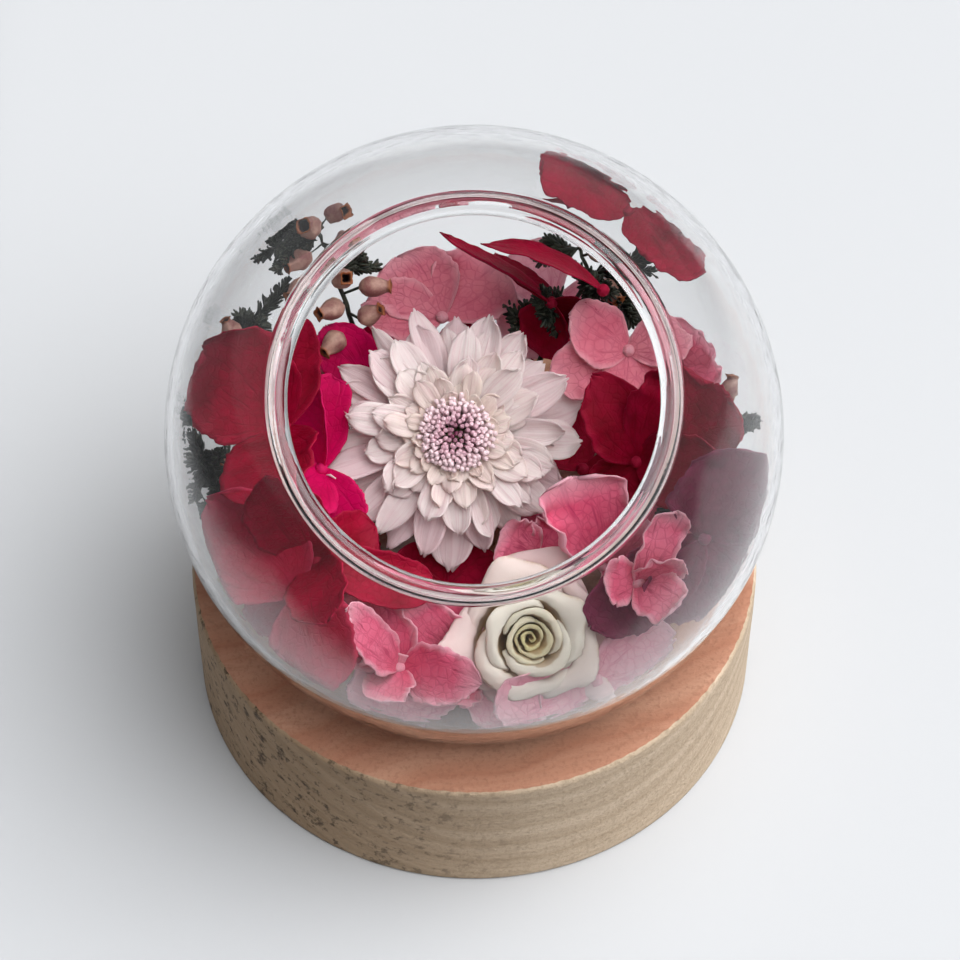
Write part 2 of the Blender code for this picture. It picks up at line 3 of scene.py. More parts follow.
import bpy
import numpy as np
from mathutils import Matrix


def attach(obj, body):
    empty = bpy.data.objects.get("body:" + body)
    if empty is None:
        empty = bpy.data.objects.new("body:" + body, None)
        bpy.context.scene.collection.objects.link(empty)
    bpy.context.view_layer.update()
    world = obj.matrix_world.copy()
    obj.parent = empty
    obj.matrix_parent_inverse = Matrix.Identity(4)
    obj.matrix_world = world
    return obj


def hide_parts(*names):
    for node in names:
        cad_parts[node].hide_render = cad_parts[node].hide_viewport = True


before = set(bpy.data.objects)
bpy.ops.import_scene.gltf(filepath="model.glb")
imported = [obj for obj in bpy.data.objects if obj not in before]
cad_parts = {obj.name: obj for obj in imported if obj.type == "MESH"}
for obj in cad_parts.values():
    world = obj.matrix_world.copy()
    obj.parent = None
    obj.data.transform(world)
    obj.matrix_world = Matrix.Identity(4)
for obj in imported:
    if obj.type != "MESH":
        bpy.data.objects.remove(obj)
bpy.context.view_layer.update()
MM = 0.001

# The view
# The eye looks steeply down into the leaning mouth, in soft window light from the upper right. The
# table is plain and pale, with painted shade that darkens it away from the window. The camera
# stands where the fit of the globe, mouth and disc puts it.
DISC_TOP = 27.5 * MM
VIEW_RISE = math.radians(53.7)
VIEW_ROLL = math.radians(-0.2)
VIEW_DISTANCE = 0.5768
VIEW_OFFSET_UP = 12.2 * MM
VIEW_OFFSET_RIGHT = -0.2 * MM
SENSOR_WIDTH = 36.0
LENS = 127.5

back_to_eye = np.array([0.0, -math.cos(VIEW_RISE), math.sin(VIEW_RISE)])
picture_up = np.array([0.0, math.sin(VIEW_RISE), math.cos(VIEW_RISE)])
eye = np.array([0.0, 0.0, DISC_TOP]) + back_to_eye * VIEW_DISTANCE + picture_up * VIEW_OFFSET_UP
eye[0] += VIEW_OFFSET_RIGHT

camera = bpy.data.objects.new("camera", bpy.data.cameras.new("camera"))
camera.data.lens = LENS
camera.data.sensor_width = SENSOR_WIDTH
camera.data.clip_start = 0.01
camera.location = eye
camera.rotation_euler = (math.pi / 2 - VIEW_RISE, 0.0, VIEW_ROLL)
bpy.context.scene.collection.objects.link(camera)
bpy.context.scene.camera = camera
bpy.context.scene.view_settings.view_transform = "Standard"


def fill_inputs(tree, made, values):
    """Fills a node's inputs by name or number: a socket is linked, any other value is set."""
    for key, value in values.items():
        if isinstance(value, bpy.types.NodeSocket):
            tree.links.new(value, made.inputs[key])
        else:
            made.inputs[key].default_value = value


def plain_material(name, colour, roughness):
    """A new node material, its node tree and its shader, with one colour and roughness to build on."""
    material = bpy.data.materials.new(name)
    material.use_nodes = True
    shader = material.node_tree.nodes["Principled BSDF"]
    fill_inputs(material.node_tree, shader, {"Base Color": (*colour, 1.0), "Roughness": roughness})
    return material, material.node_tree, shader


def node(tree, kind, values=None, **settings):
    """Adds one shader node with these settings and inputs."""
    made = tree.nodes.new(kind)
    for key, value in settings.items():
        setattr(made, key, value)
    fill_inputs(tree, made, values or {})
    return made


def linked_float(tree, operation, *inputs):
    """One sum of sockets or numbers, in order; gives its output socket."""
    return node(tree, "ShaderNodeMath", dict(enumerate(inputs)), operation=operation).outputs[0]


def linked_range(tree, value, low, high, to_low=0.0, to_high=1.0, **settings):
    """The value's share of the way from low to high, held between the two ends, as a socket."""
    ends = {"Value": value, "From Min": low, "From Max": high, "To Min": to_low, "To Max": to_high}
    return node(tree, "ShaderNodeMapRange", ends, **settings).outputs[0]


def linked_reach(tree, vector, direction):
    """How far the vector reaches along a direction, their dot product, as a socket."""
    reach = node(tree, "ShaderNodeVectorMath", {0: vector, 1: direction}, operation="DOT_PRODUCT")
    return reach.outputs["Value"]


def linked_mix(tree, factor, first, second, blend="MIX"):
    """A colour mix whose inputs are sockets or colours, as a socket."""
    both = {
        key: value if isinstance(value, bpy.types.NodeSocket) else (*value, 1.0)
        for key, value in (("A", first), ("B", second))
    }
    mix = node(tree, "ShaderNodeMix", {"Factor": factor, **both}, data_type="RGBA", blend_type=blend)
    return mix.outputs["Result"]


FLOOR_REACH = 1.5
# Painted shade: the table's colour darkens away from the window, with distance, towards the front
# and towards the left. Each row is a direction and where the painted shade starts and ends along it.
FLOOR_FALLS = (((0, -1, 0), 0.060, 0.11), ((-1, 0, 0), 0.085, 0.20), ((0.8, 0.6, 0), 0.25, 0.60))
floor_corners = [(x * FLOOR_REACH, y * FLOOR_REACH, 0) for x, y in ((-1, -1), (1, -1), (1, 1), (-1, 1))]
floor_mesh = bpy.data.meshes.new("table")
floor_mesh.from_pydata(floor_corners, [], [(0, 1, 2, 3)])
floor = bpy.data.objects.new("table", floor_mesh)
floor_material, floor_tree, floor_shader = plain_material("pale_table", (0.78, 0.79, 0.80), 0.55)
floor_place = node(floor_tree, "ShaderNodeTexCoord").outputs["Object"]
floor_shade = 0.0
for direction, nearest, farthest in FLOOR_FALLS:
    floor_far = linked_reach(floor_tree, floor_place, direction)
    floor_fall = linked_range(floor_tree, floor_far, nearest, farthest, interpolation_type="SMOOTHSTEP")
    floor_shade = linked_float(floor_tree, "MAXIMUM", floor_shade, floor_fall)
# painted shade: the pale table tone falls to near black where these directions reach far
floor_tone = linked_mix(floor_tree, floor_shade, (0.475, 0.477, 0.480), (0.06, 0.06, 0.062))
floor_tree.links.new(floor_tone, floor_shader.inputs["Base Color"])
floor.data.materials.append(floor_material)
bpy.context.scene.collection.objects.link(floor)


def soft_light(name, place, target, size, power, colour):
    """A square area light that faces the target."""
    light = bpy.data.lights.new(name, "AREA")
    light.shape = "SQUARE"
    light.size = size
    light.energy = power
    light.color = colour
    lamp = bpy.data.objects.new(name, light)
    lamp.location = place
    away = np.array(place) - np.array(target)
    spread = math.hypot(away[0], away[1])
    lamp.rotation_euler = (math.atan2(spread, away[2]), 0.0, math.atan2(away[0], -away[1]))
    bpy.context.scene.collection.objects.link(lamp)


soft_light("window_light", (0.9, 0.3, 1.1), (0, 0, 0.05), 0.6, 2.0, (1.0, 0.99, 0.97))
WINDOW_SIDE = (0.45, -0.08, 0.89)
world = bpy.data.worlds.new("room")
world.use_nodes = True
room_tree = world.node_tree
room_direction = node(room_tree, "ShaderNodeTexCoord").outputs["Generated"]
room_side = linked_reach(room_tree, room_direction, WINDOW_SIDE)
room_light = linked_range(room_tree, room_side, 0.72, 1.0, 0.28, 6.6, interpolation_type="SMOOTHSTEP")
room_look = {"Strength": room_light, "Color": (0.95, 0.97, 1.0, 1.0)}
fill_inputs(room_tree, room_tree.nodes["Background"], room_look)
bpy.context.scene.world = world

# The wood disc
# One round slice of pale softwood, sawn flat: its top is reddish with fine lines across, its side
# pale with slanting growth lines, rough, pitted and darker at the front left, the darkness partly
# painted shade, and its upper edge is ragged.
DISC_RADIUS = 48.0 * MM
DISC_EDGE_BREAK = 0.5 * MM
DISC_AROUND = 640
TOP_RINGS = 26
SIDE_RINGS = 60
ROUGH_SIDE = math.radians(232)
ROUGH_SIDE_SPREAD = math.radians(24)


def noise_rows(values, seed, octaves=5):
    """Smooth noise of angles: sines with seeded phases, whose height halves as their pace doubles."""
    rng = np.random.default_rng(seed)
    total = np.zeros_like(values[0])
    for octave in range(octaves):
        pace = 2.0 ** octave
        for _ in range(3):
            phase = rng.uniform(0, 2 * math.pi)
            mixed = sum(np.round(pace * rng.uniform(0.6, 1.6)) * v for v in values)
            total = total + np.sin(mixed + phase) / pace
    return total / 3


def mesh_piece(name, points, faces, materials, uv=None, slots=None, **values):
    """An object at the origin from an array of points and an array of four-cornered faces.

    uv holds each point's place across and along a petal. Further arrays become attributes by name,
    such as tint, a petal's shade.
    """
    mesh = bpy.data.meshes.new(name)
    mesh.vertices.add(len(points))
    mesh.vertices.foreach_set("co", np.ascontiguousarray(points, np.float32).ravel())
    mesh.loops.add(faces.size)
    mesh.loops.foreach_set("vertex_index", faces.ravel().astype(np.int32))
    mesh.polygons.add(len(faces))
    mesh.polygons.foreach_set("loop_start", np.arange(0, faces.size, 4, dtype=np.int32))
    mesh.polygons.foreach_set("use_smooth", np.ones(len(faces), bool))
    if slots is not None:
        mesh.polygons.foreach_set("material_index", slots.astype(np.int32))
    if uv is not None:
        layer = mesh.uv_layers.new(name="UVMap")
        layer.uv.foreach_set("vector", uv[faces.ravel()].astype(np.float32).ravel())
    for attribute, numbers in values.items():
        stored = mesh.attributes.new(attribute, "FLOAT", "POINT")
        stored.data.foreach_set("value", numbers.astype(np.float32))
    mesh.update(calc_edges=True)
    mesh.validate()
    for material in materials:
        mesh.materials.append(material)
    made = bpy.data.objects.new(name, mesh)
    bpy.context.scene.collection.objects.link(made)
    return made


def lathe_faces(rings, sides):
    """Faces between rings of points, pointing out of a profile that runs downwards on its outside."""
    along, around = np.meshgrid(np.arange(rings - 1), np.arange(sides), indexing="ij")
    after = (around + 1) % sides
    near, far = along * sides, (along + 1) * sides
    return np.stack([near + around, far + around, far + after, near + after], axis=-1).reshape(-1, 4)


def disc_points():
    """Rings of the disc from the middle of its top, out and down its side, to the middle underneath.

    The side is moved inwards by noise that is deepest at the front left, and the upper edge by a
    finer one, so that it comes out ragged.
    """
    top = np.linspace(0.0, 1.0, TOP_RINGS) ** 0.8 * (DISC_RADIUS - DISC_EDGE_BREAK)
    side = np.linspace(DISC_TOP - DISC_EDGE_BREAK, DISC_EDGE_BREAK, SIDE_RINGS)
    radius = np.concatenate([top, np.full(SIDE_RINGS, DISC_RADIUS), top[::-1]])
    height = np.concatenate([np.full(TOP_RINGS, DISC_TOP), side, np.zeros(TOP_RINGS)])
    angle = np.linspace(0, 2 * math.pi, DISC_AROUND, endpoint=False)
    radius, turn = np.meshgrid(radius, angle, indexing="ij")
    height = np.repeat(height[:, None], DISC_AROUND, axis=1)
    low = height / DISC_TOP * 9.0
    rough_side = np.exp(-(((turn - ROUGH_SIDE) / ROUGH_SIDE_SPREAD) ** 2))
    pits = np.clip(noise_rows([turn * 23, low * 5], 3, 4) - 0.15, 0, 1)
    on_side = np.clip((radius - DISC_RADIUS + DISC_EDGE_BREAK * 1.01) / DISC_EDGE_BREAK, 0, 1)
    near_top = np.exp(-(((height - DISC_TOP) / (0.9 * MM)) ** 2))
    upper_edge = near_top * (radius > DISC_RADIUS - 2 * DISC_EDGE_BREAK)
    ragged = np.abs(noise_rows([turn * 31], 8, 5))
    inwards = on_side * (0.05 + 0.30 * rough_side * pits) * MM + upper_edge * ragged * 0.22 * MM
    radius = radius - inwards - on_side * 0.05 * MM * (1 + noise_rows([turn * 4, low * 0.5], 5, 3))
    return np.stack([radius * np.cos(turn), radius * np.sin(turn), height], axis=-1)


def linked_noise(tree, vector, scale, detail=3.0, roughness=0.6):
    """A cloud noise at the vector, as a socket."""
    values = {"Vector": vector, "Scale": scale, "Detail": detail, "Roughness": roughness}
    return node(tree, "ShaderNodeTexNoise", values).outputs["Fac"]


def wood_material(name, light_tone, deep_tone, line_tone, pit_depth, line_strength):
    """Growth lines in slanting flat layers, fibres, a fine grain, and dark pits and a darker tone at the
    front left, the darker tone partly painted shade.
    """
    material, tree, shader = plain_material(name, light_tone, 0.78)
    place = node(tree, "ShaderNodeTexCoord").outputs["Object"]
    sway = linked_float(tree, "MULTIPLY", linked_noise(tree, place, 28.0, 3.0, 0.5), 0.016)
    layer = linked_float(tree, "ADD", linked_reach(tree, place, (-0.33, 0.94, -1.95)), sway)
    layers = node(tree, "ShaderNodeCombineXYZ", {"X": layer}).outputs[0]
    fibre_turn = {"Vector": place, "Scale": (120.0, 900.0, 900.0), "Rotation": (0.0, 0.0, -0.34)}
    fibre_space = node(tree, "ShaderNodeMapping", fibre_turn).outputs[0]
    fibre = linked_noise(tree, fibre_space, 1.0, 4.0, 0.65)
    grain = linked_noise(tree, place, 1300.0, 3.0, 0.7)
    rough_side = linked_range(tree, linked_reach(tree, place, (-0.78, -0.62, 0.0)), 0.020, 0.046)
    pits = linked_range(tree, linked_noise(tree, place, 520.0, 4.0, 0.7), 0.53, 0.64)
    pit_share = linked_float(tree, "MULTIPLY", linked_float(tree, "MULTIPLY", pits, rough_side), pit_depth)
    front_left_painted_shade = linked_float(tree, "MULTIPLY", rough_side, 0.75 * pit_depth)
    growth = linked_range(tree, linked_noise(tree, layers, 190.0), 0.35, 0.68)
    tone = linked_mix(tree, growth, light_tone, deep_tone)
    tone = linked_mix(tree, linked_range(tree, fibre, 0.55, 0.8, 0.0, line_strength), tone, line_tone)
    tone = linked_mix(tree, pit_share, tone, (0.055, 0.032, 0.014))
    # partly painted shade: the front left, the side away from the window, is darkened where the wood is rough
    tone = linked_mix(tree, front_left_painted_shade, tone, (0.48, 0.36, 0.22), "MULTIPLY")
    tone = linked_mix(tree, linked_range(tree, grain, 0.50, 0.66, 0.0, 0.45), tone, line_tone)
    relief = {"Height": linked_float(tree, "ADD", fibre, grain), "Strength": 0.8, "Distance": 0.3 * MM}
    fill_inputs(tree, shader, {"Base Color": tone, "Normal": node(tree, "ShaderNodeBump", relief).outputs[0]})
    return material


disc = disc_points()
disc_faces = lathe_faces(disc.shape[0], DISC_AROUND)
disc_slots = np.where(np.arange(len(disc_faces)) // DISC_AROUND < TOP_RINGS - 1, 0, 1)
sawn_top = wood_material(
    "sawn_top", (0.46, 0.235, 0.145), (0.34, 0.125, 0.065), (0.25, 0.10, 0.055), 0.0, 0.5)
sawn_side = wood_material(
    "sawn_side", (0.58, 0.45, 0.325), (0.41, 0.30, 0.195), (0.28, 0.20, 0.12), 0.9, 0.35)
wood_disc = mesh_piece("wood_disc", disc.reshape(-1, 3), disc_faces, [sawn_top, sawn_side], slots=disc_slots)
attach(wood_disc, "root")
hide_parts("wood_base")

# The glass globe
# One blown wall of clear glass, 1.4 mm thick, with a flat foot and a leaning mouth whose edge was
# melted into a thick round bead. It stands on the wood.
GAP = 0.3 * MM
GLOBE_RADIUS = 50.0 * MM
GLASS_WALL = 1.4 * MM
GLOBE_RISE = 32.6 * MM
GLOBE_CENTRE = np.array([0.0, 0.0, DISC_TOP + GAP + GLOBE_RISE])
INNER_RADIUS = GLOBE_RADIUS - GLASS_WALL
FOOT_ROUNDING = 3.0 * MM
MOUTH_LEAN = math.radians(29.0)
MOUTH_INNER_RADIUS = 28.9 * MM
RIM_BEAD_RADIUS = 1.5 * MM
GLOBE_AROUND = 192
MOUTH_ANGLE = math.asin(MOUTH_INNER_RADIUS / INNER_RADIUS) + RIM_BEAD_RADIUS / GLOBE_RADIUS


def leant_rings(radii, heights, leans):
    """Circles of these radii and heights about the globe's centre line, each leant forwards about X."""
    turn = np.linspace(0, 2 * math.pi, GLOBE_AROUND, endpoint=False)
    x = radii[:, None] * np.cos(turn)
    y = radii[:, None] * np.sin(turn)
    z = np.repeat(heights[:, None], GLOBE_AROUND, axis=1)
    c, s = np.cos(leans)[:, None], np.sin(leans)[:, None]
    return np.stack([x, c * y - s * z, s * y + c * z], axis=-1) + GLOBE_CENTRE


def globe_wall(radius, rings=56, corner=10, foot=8):
    """Circles on a sphere from the leaning mouth down to the level foot, then the foot's rounded corner."""
    floor = -GLOBE_RISE + (GLOBE_RADIUS - radius)
    corner_height = floor + FOOT_ROUNDING
    corner_middle = math.sqrt((radius - FOOT_ROUNDING) ** 2 - corner_height ** 2)
    foot_angle = math.pi / 2 + math.atan2(-corner_height, corner_middle)
    share = np.linspace(0, 1, rings)
    angle = MOUTH_ANGLE + (foot_angle - MOUTH_ANGLE) * share
    turn = foot_angle + (math.pi - foot_angle) * np.linspace(0, 1, corner)[1:]
    inwards = np.linspace(1, 0, foot)[1:] * corner_middle
    corner_radii = corner_middle + FOOT_ROUNDING * np.sin(turn)
    corner_heights = corner_height + FOOT_ROUNDING * np.cos(turn)
    radii = np.concatenate([radius * np.sin(angle), corner_radii, inwards])
    heights = np.concatenate([radius * np.cos(angle), corner_heights, np.full(foot - 1, floor)])
    leans = np.concatenate([MOUTH_LEAN * (1 - share) ** 1.5, np.zeros(corner + foot - 2)])
    return leant_rings(radii, heights, leans)


def globe_rim():
    """The bead's circles, from the outer wall over the edge to the inner wall."""
    around = np.radians(np.linspace(-50, 230, 22))
    middle = GLOBE_RADIUS - GLASS_WALL / 2
    radius = middle + RIM_BEAD_RADIUS * np.cos(around)
    angle = MOUTH_ANGLE - 0.8 * RIM_BEAD_RADIUS / GLOBE_RADIUS - RIM_BEAD_RADIUS * np.sin(around) / middle
    return leant_rings(radius * np.sin(angle), radius * np.cos(angle), np.full(22, MOUTH_LEAN))


globe_rings = np.concatenate([globe_wall(GLOBE_RADIUS)[::-1], globe_rim(), globe_wall(INNER_RADIUS)])
globe_faces = lathe_faces(len(globe_rings), GLOBE_AROUND)[:, ::-1]
clear_glass, glass_tree, glass_shader = plain_material("clear_glass", (1.0, 1.0, 1.0), 0.0)
glass_waves = node(glass_tree, "ShaderNodeTexNoise", {"Scale": 30.0, "Detail": 1.0}).outputs["Fac"]
glass_relief = {"Height": glass_waves, "Strength": 0.05, "Distance": 0.5 * MM}
glass_bump = node(glass_tree, "ShaderNodeBump", glass_relief).outputs[0]
glass_look = {"Transmission Weight": 1.0, "IOR": 1.47, "Normal": glass_bump}
fill_inputs(glass_tree, glass_shader, glass_look)
globe = mesh_piece("glass_globe", globe_rings.reshape(-1, 3), globe_faces, [clear_glass])
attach(globe, "root")
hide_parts("glass_bowl")

# The chrysanthemum
# One large preserved double bloom that faces up and forwards: rows of thin veined petals around a
# raised button of small tubes, held by a green calyx on a stem cut off at the globe's floor.
SLOPE = math.radians(36.3)
RIGHT = np.array([1.0, 0.0, 0.0])
UP_SLOPE = np.array([0.0, math.cos(SLOPE), math.sin(SLOPE)])
OUTWARD = np.array([0.0, -math.sin(SLOPE), math.cos(SLOPE)])
SLOPE_AXES = np.stack([RIGHT, UP_SLOPE, OUTWARD])
FLOOR_INSIDE = -GLOBE_RISE + GLASS_WALL
MUM_PLACE = (-2.9, 0.1, -5.0)
PETAL_GRID = (22, 15)
# The outer petals one by one, from the lowest up: the angle at which it points, anticlockwise from
# the right, its length and width, and its rise at the base and at the tip in degrees.
OUTER_PETALS = (
    (10, 21.4, 6.8, 2, -12), (-22, 19.0, 6.2, 1, -14), (-60, 18.4, 6.4, 2, -13), (-93, 22.2, 8.0, 2, -13),
    (-118, 21.6, 5.4, 3, -12), (-153, 21.8, 6.8, 2, -12), (-177, 20.6, 5.8, 3, -12), (160, 20.0, 5.2, 3, -10),
    (148, 22.0, 5.0, 5, -8), (129, 22.2, 3.8, 8, -4), (116, 18.8, 5.6, 3, -12), (92, 19.2, 6.0, 4, -10),
    (56, 19.8, 6.2, 5, -10), (38, 18.4, 6.2, 3, -12), (-3, 20.2, 6.4, 8, -10), (27, 20.2, 6.4, 9, -8),
    (-43, 19.0, 6.2, 10, -8), (-76, 19.4, 5.6, 10, -8), (-109, 20.4, 5.6, 9, -9), (-129, 20.6, 5.6, 10, -8),
    (-140, 21.4, 6.2, 7, -10), (-166, 22.2, 5.0, 9, -8), (171, 18.4, 5.2, 12, -6), (138, 19.4, 4.6, 14, -3),
    (104, 21.3, 5.4, 14, -4), (73, 20.0, 6.6, 11, -6), (84, 17.4, 5.8, 17, -2),
)
# The rows inside them: how many petals, their length and width, their rise at the base and at the
# tip, the radius and height at which they start, and their shade, which is 1 for the inner cream.
INNER_ROWS = (
    (15, 17.4, 5.8, 17, -8, 2.9, -1.0, 0.35),
    (15, 15.2, 5.2, 22, -3, 2.9, -0.5, 0.45),
    (15, 12.9, 4.6, 27, 0, 2.9, 0.0, 0.6),
    (16, 10.6, 3.8, 32, 4, 3.0, 0.4, 0.8),
    (17, 8.3, 3.1, 38, 8, 3.3, 0.8, 0.95),
    (18, 6.0, 2.2, 46, 18, 3.7, 1.1, 1.0),
)
MUM_PETAL_THICKNESS = 0.2 * MM
BUTTON_TUBES = 190
BUTTON_RADIUS = 4.6 * MM
TUBE_RADIUS = 0.42 * MM


def slope_point(place):
    """A place right, up the slope and outwards, in millimetres, as a point from the globe's centre."""
    return np.asarray(place, float) @ SLOPE_AXES * MM


def sheet_faces(rows, columns, count):
    """Faces of closed thin sheets: a front grid, a back grid and the border that joins them."""
    place = np.arange(rows * columns).reshape(rows, columns)
    front = np.stack([place[:-1, :-1], place[1:, :-1], place[1:, 1:], place[:-1, 1:]], axis=-1).reshape(-1, 4)
    back = front[:, ::-1] + rows * columns
    edge = np.concatenate([place[:-1, 0], place[-1, :-1], place[:0:-1, -1], place[0, :0:-1]])
    after = np.roll(edge, -1)
    border = np.stack([after, edge, edge + rows * columns, after + rows * columns], axis=-1)
    one = np.concatenate([front, back, border])
    starts = np.arange(count) * 2 * rows * columns
    return (one[None] + starts[:, None, None]).reshape(-1, 4)


def thick_sheets(middle, thickness):
    """Points of closed sheets from middle surfaces: each point is moved half the thickness both ways."""
    along = np.gradient(middle, axis=1)
    across = np.gradient(middle, axis=2)
    normal = np.cross(along, across)
    normal /= np.maximum(np.linalg.norm(normal, axis=-1, keepdims=True), 1e-12)
    return np.stack([middle + normal * thickness / 2, middle - normal * thickness / 2], axis=1)


def sheet_values(rows, columns, shades):
    """For each point of sheets of this grid: its place across and along its petal, and its petal's shade."""
    s, q = np.meshgrid(np.linspace(0, 1, rows), np.linspace(0, 1, columns), indexing="ij")
    count = len(shades)
    uv = np.broadcast_to(np.stack([q, s], axis=-1), (count, 2, rows, columns, 2)).reshape(-1, 2)
    return uv, np.repeat(np.asarray(shades, float), 2 * rows * columns)


def ray_petals(turn, length, width, base_rise, tip_rise, start, depth, rng):
    """Middle surfaces of some petals of the bloom, over s along a petal and q across it.

    The midline adds up steps (cos e, sin e) while e runs from the base's rise to the tip's. Across,
    q runs over a half width that grows, then rounds off. A trough, a twist, pleats and a curl lift
    it from the midline, and the tip's end is drawn back by q squared and notched by a cosine of q.
    """
    rows, columns = PETAL_GRID
    count = len(turn)
    one = (count, 1, 1)
    length, width, base_rise, tip_rise = (
        np.broadcast_to(value, count).reshape(one) for value in (length, width, base_rise, tip_rise)
    )
    s = np.linspace(0, 1, rows)[None, :, None]
    q = np.linspace(-1, 1, columns)[None, None, :]
    tilt = rng.normal(0, 4, one) + rng.normal(0, 9, one) * s ** 2
    rise = np.radians(base_rise + (tip_rise - base_rise) * s + tilt)
    step = length / (rows - 1)
    out = start + (np.cumsum(np.cos(rise), axis=1) - np.cos(rise[:, :1])) * (step - start / (rows - 1) * 0.9)
    up = depth + (np.cumsum(np.sin(rise), axis=1) - np.sin(rise[:, :1])) * step
    radial = (RIGHT * np.cos(turn)[:, None] + UP_SLOPE * np.sin(turn)[:, None])[:, None, None]
    side = (UP_SLOPE * np.cos(turn)[:, None] - RIGHT * np.sin(turn)[:, None])[:, None, None]
    tangent = radial * np.cos(rise)[..., None] + OUTWARD * np.sin(rise)[..., None]
    lift = OUTWARD * np.cos(rise)[..., None] - radial * np.sin(rise)[..., None]
    widest = rng.uniform(0.55, 0.8, one)
    grown = np.clip(s / widest, 0, 1)
    rounded = np.sqrt(1 - 0.94 * (np.clip(s - widest, 0, 1) / (1 - widest)) ** 2.4)
    half = width / 2 * (0.34 + 0.66 * grown * grown * (3 - 2 * grown)) * rounded * rng.uniform(0.9, 1.1, one)
    trough = rng.uniform(0.02, 0.30, one) * (1 - 0.75 * s) * q ** 2 * width
    twist = 0.16 * width * rng.normal(0, 1, one) * q * s ** 2
    pleats = 0.020 * width * np.cos(2.5 * math.pi * q + rng.uniform(-0.8, 0.8, one))
    pleats = pleats * np.sin(math.pi * s) ** 0.5
    curl = rng.normal(0.0, 0.14, one) * width * s ** 3 * q ** 2
    notches = np.cos(rng.uniform(2.0, 3.2, one) * math.pi * q + rng.uniform(0, 6, one))
    teeth = (0.045 * q ** 2 + 0.014 * notches) * s ** 3
    sway = rng.normal(0, 0.05, one) * length * s ** 2
    points = (
        radial * out[..., None]
        + OUTWARD * up[..., None]
        + side * (half * q + sway)[..., None]
        + lift * (trough + twist + pleats + curl)[..., None]
        - tangent * (teeth * length)[..., None]
    )
    return points * MM


def finish_petal(tree, shader, colour, height, strength, distance, glow):
    """Joins colour and relief to the shader, with a share of light that comes through from the far side."""
    relief = {"Height": height, "Strength": strength, "Distance": distance}
    bump = node(tree, "ShaderNodeBump", relief).outputs[0]
    fill_inputs(tree, shader, {"Specular IOR Level": 0.10, "Base Color": colour, "Normal": bump})
    through = node(tree, "ShaderNodeBsdfTranslucent", {"Color": colour, "Normal": bump})
    share = node(tree, "ShaderNodeMixShader", {"Fac": glow, 1: shader.outputs[0], 2: through.outputs[0]})
    tree.links.new(share.outputs[0], tree.nodes["Material Output"].inputs["Surface"])


def petal_place(tree):
    """The place across and along a petal, its shade, and the place in the globe, each as a socket."""
    surface = node(tree, "ShaderNodeUVMap", uv_map="UVMap").outputs[0]
    parts = node(tree, "ShaderNodeSeparateXYZ", {0: surface})
    shade = node(tree, "ShaderNodeAttribute", attribute_name="tint").outputs["Fac"]
    return parts.outputs["X"], parts.outputs["Y"], shade, node(tree, "ShaderNodeTexCoord").outputs["Object"]


def strap_petal_material(name, pink, white, cream, base, vein, vein_amount, glow):
    """Thin petal: fine lengthwise veins, a warm base, and a shade that runs from pink over white to cream."""
    material, tree, shader = plain_material(name, white, 0.42)
    across, along, shade, place = petal_place(tree)
    streak_place = {
        "X": across,
        "Y": linked_float(tree, "MULTIPLY", along, 0.09),
        "Z": linked_float(tree, "MULTIPLY", shade, 50.0),
    }
    streaks = linked_noise(tree, node(tree, "ShaderNodeCombineXYZ", streak_place).outputs[0], 15.0, 4.0)
    mottle = linked_range(tree, linked_noise(tree, place, 260.0, 4.0), 0.40, 0.65)
    tone = linked_mix(tree, linked_range(tree, shade, 0.0, 0.3), pink, white)
    tone = linked_mix(tree, linked_range(tree, shade, 0.4, 1.0), tone, cream)
    tone = linked_mix(tree, linked_float(tree, "MULTIPLY", mottle, 0.22), tone, vein)
    tone = linked_mix(tree, linked_range(tree, streaks, 0.50, 0.66, 0.0, vein_amount), tone, vein)
    tone = linked_mix(tree, linked_range(tree, along, 0.30, 0.0, 0.0, 0.8), tone, base)
    height = linked_float(tree, "MULTIPLY_ADD", mottle, 0.15, streaks)
    finish_petal(tree, shader, tone, height, 0.6, 0.3 * MM, glow)
    return material


def tube_swarm(places, leans, lengths, radius):
    """Small club-shaped tubes: circles along each one's lean that widen to a rounded, dented tip."""
    profile = np.array([
        (0.0, 0.02), (0.0, 0.50), (0.45, 0.62), (0.78, 1.0), (0.93, 0.92), (1.0, 0.50), (0.9, 0.02)])
    sides = 6
    turn = np.linspace(0, 2 * math.pi, sides, endpoint=False)
    first = np.cross(leans, np.array([0.31, 0.77, 0.56]))
    first /= np.linalg.norm(first, axis=1, keepdims=True)
    second = np.cross(leans, first)
    circle = first[:, None] * np.cos(turn)[None, :, None] + second[:, None] * np.sin(turn)[None, :, None]
    points = (
        places[:, None, None]
        + leans[:, None, None] * (profile[:, 0] * lengths[:, None])[..., None, None]
        + circle[:, None] * (profile[:, 1] * radius)[None, :, None, None]
    )
    one = lathe_faces(len(profile), sides)[:, ::-1]
    starts = np.arange(len(places)) * len(profile) * sides
    return points.reshape(-1, 3), (one[None] + starts[:, None, None]).reshape(-1, 4), len(profile) * sides


def rod_rings(path, radii, sides):
    """Circles of these radii around a path, square to it, and its two end points, which close them."""
    path = np.asarray(path, float)
    along = np.gradient(path, axis=0)
    along /= np.linalg.norm(along, axis=1, keepdims=True)
    first = np.cross(along, np.array([0.30, 0.20, 0.93]))
    first /= np.linalg.norm(first, axis=1, keepdims=True)
    second = np.cross(along, first)
    turn = np.linspace(0, 2 * math.pi, sides, endpoint=False)
    circle = first[:, None] * np.cos(turn)[:, None] + second[:, None] * np.sin(turn)[:, None]
    rings = path[:, None] + circle * np.asarray(radii)[:, None, None]
    ends = np.repeat(path[[0, -1]][:, None], sides, axis=1)
    return np.concatenate([ends[:1], rings, ends[1:]])


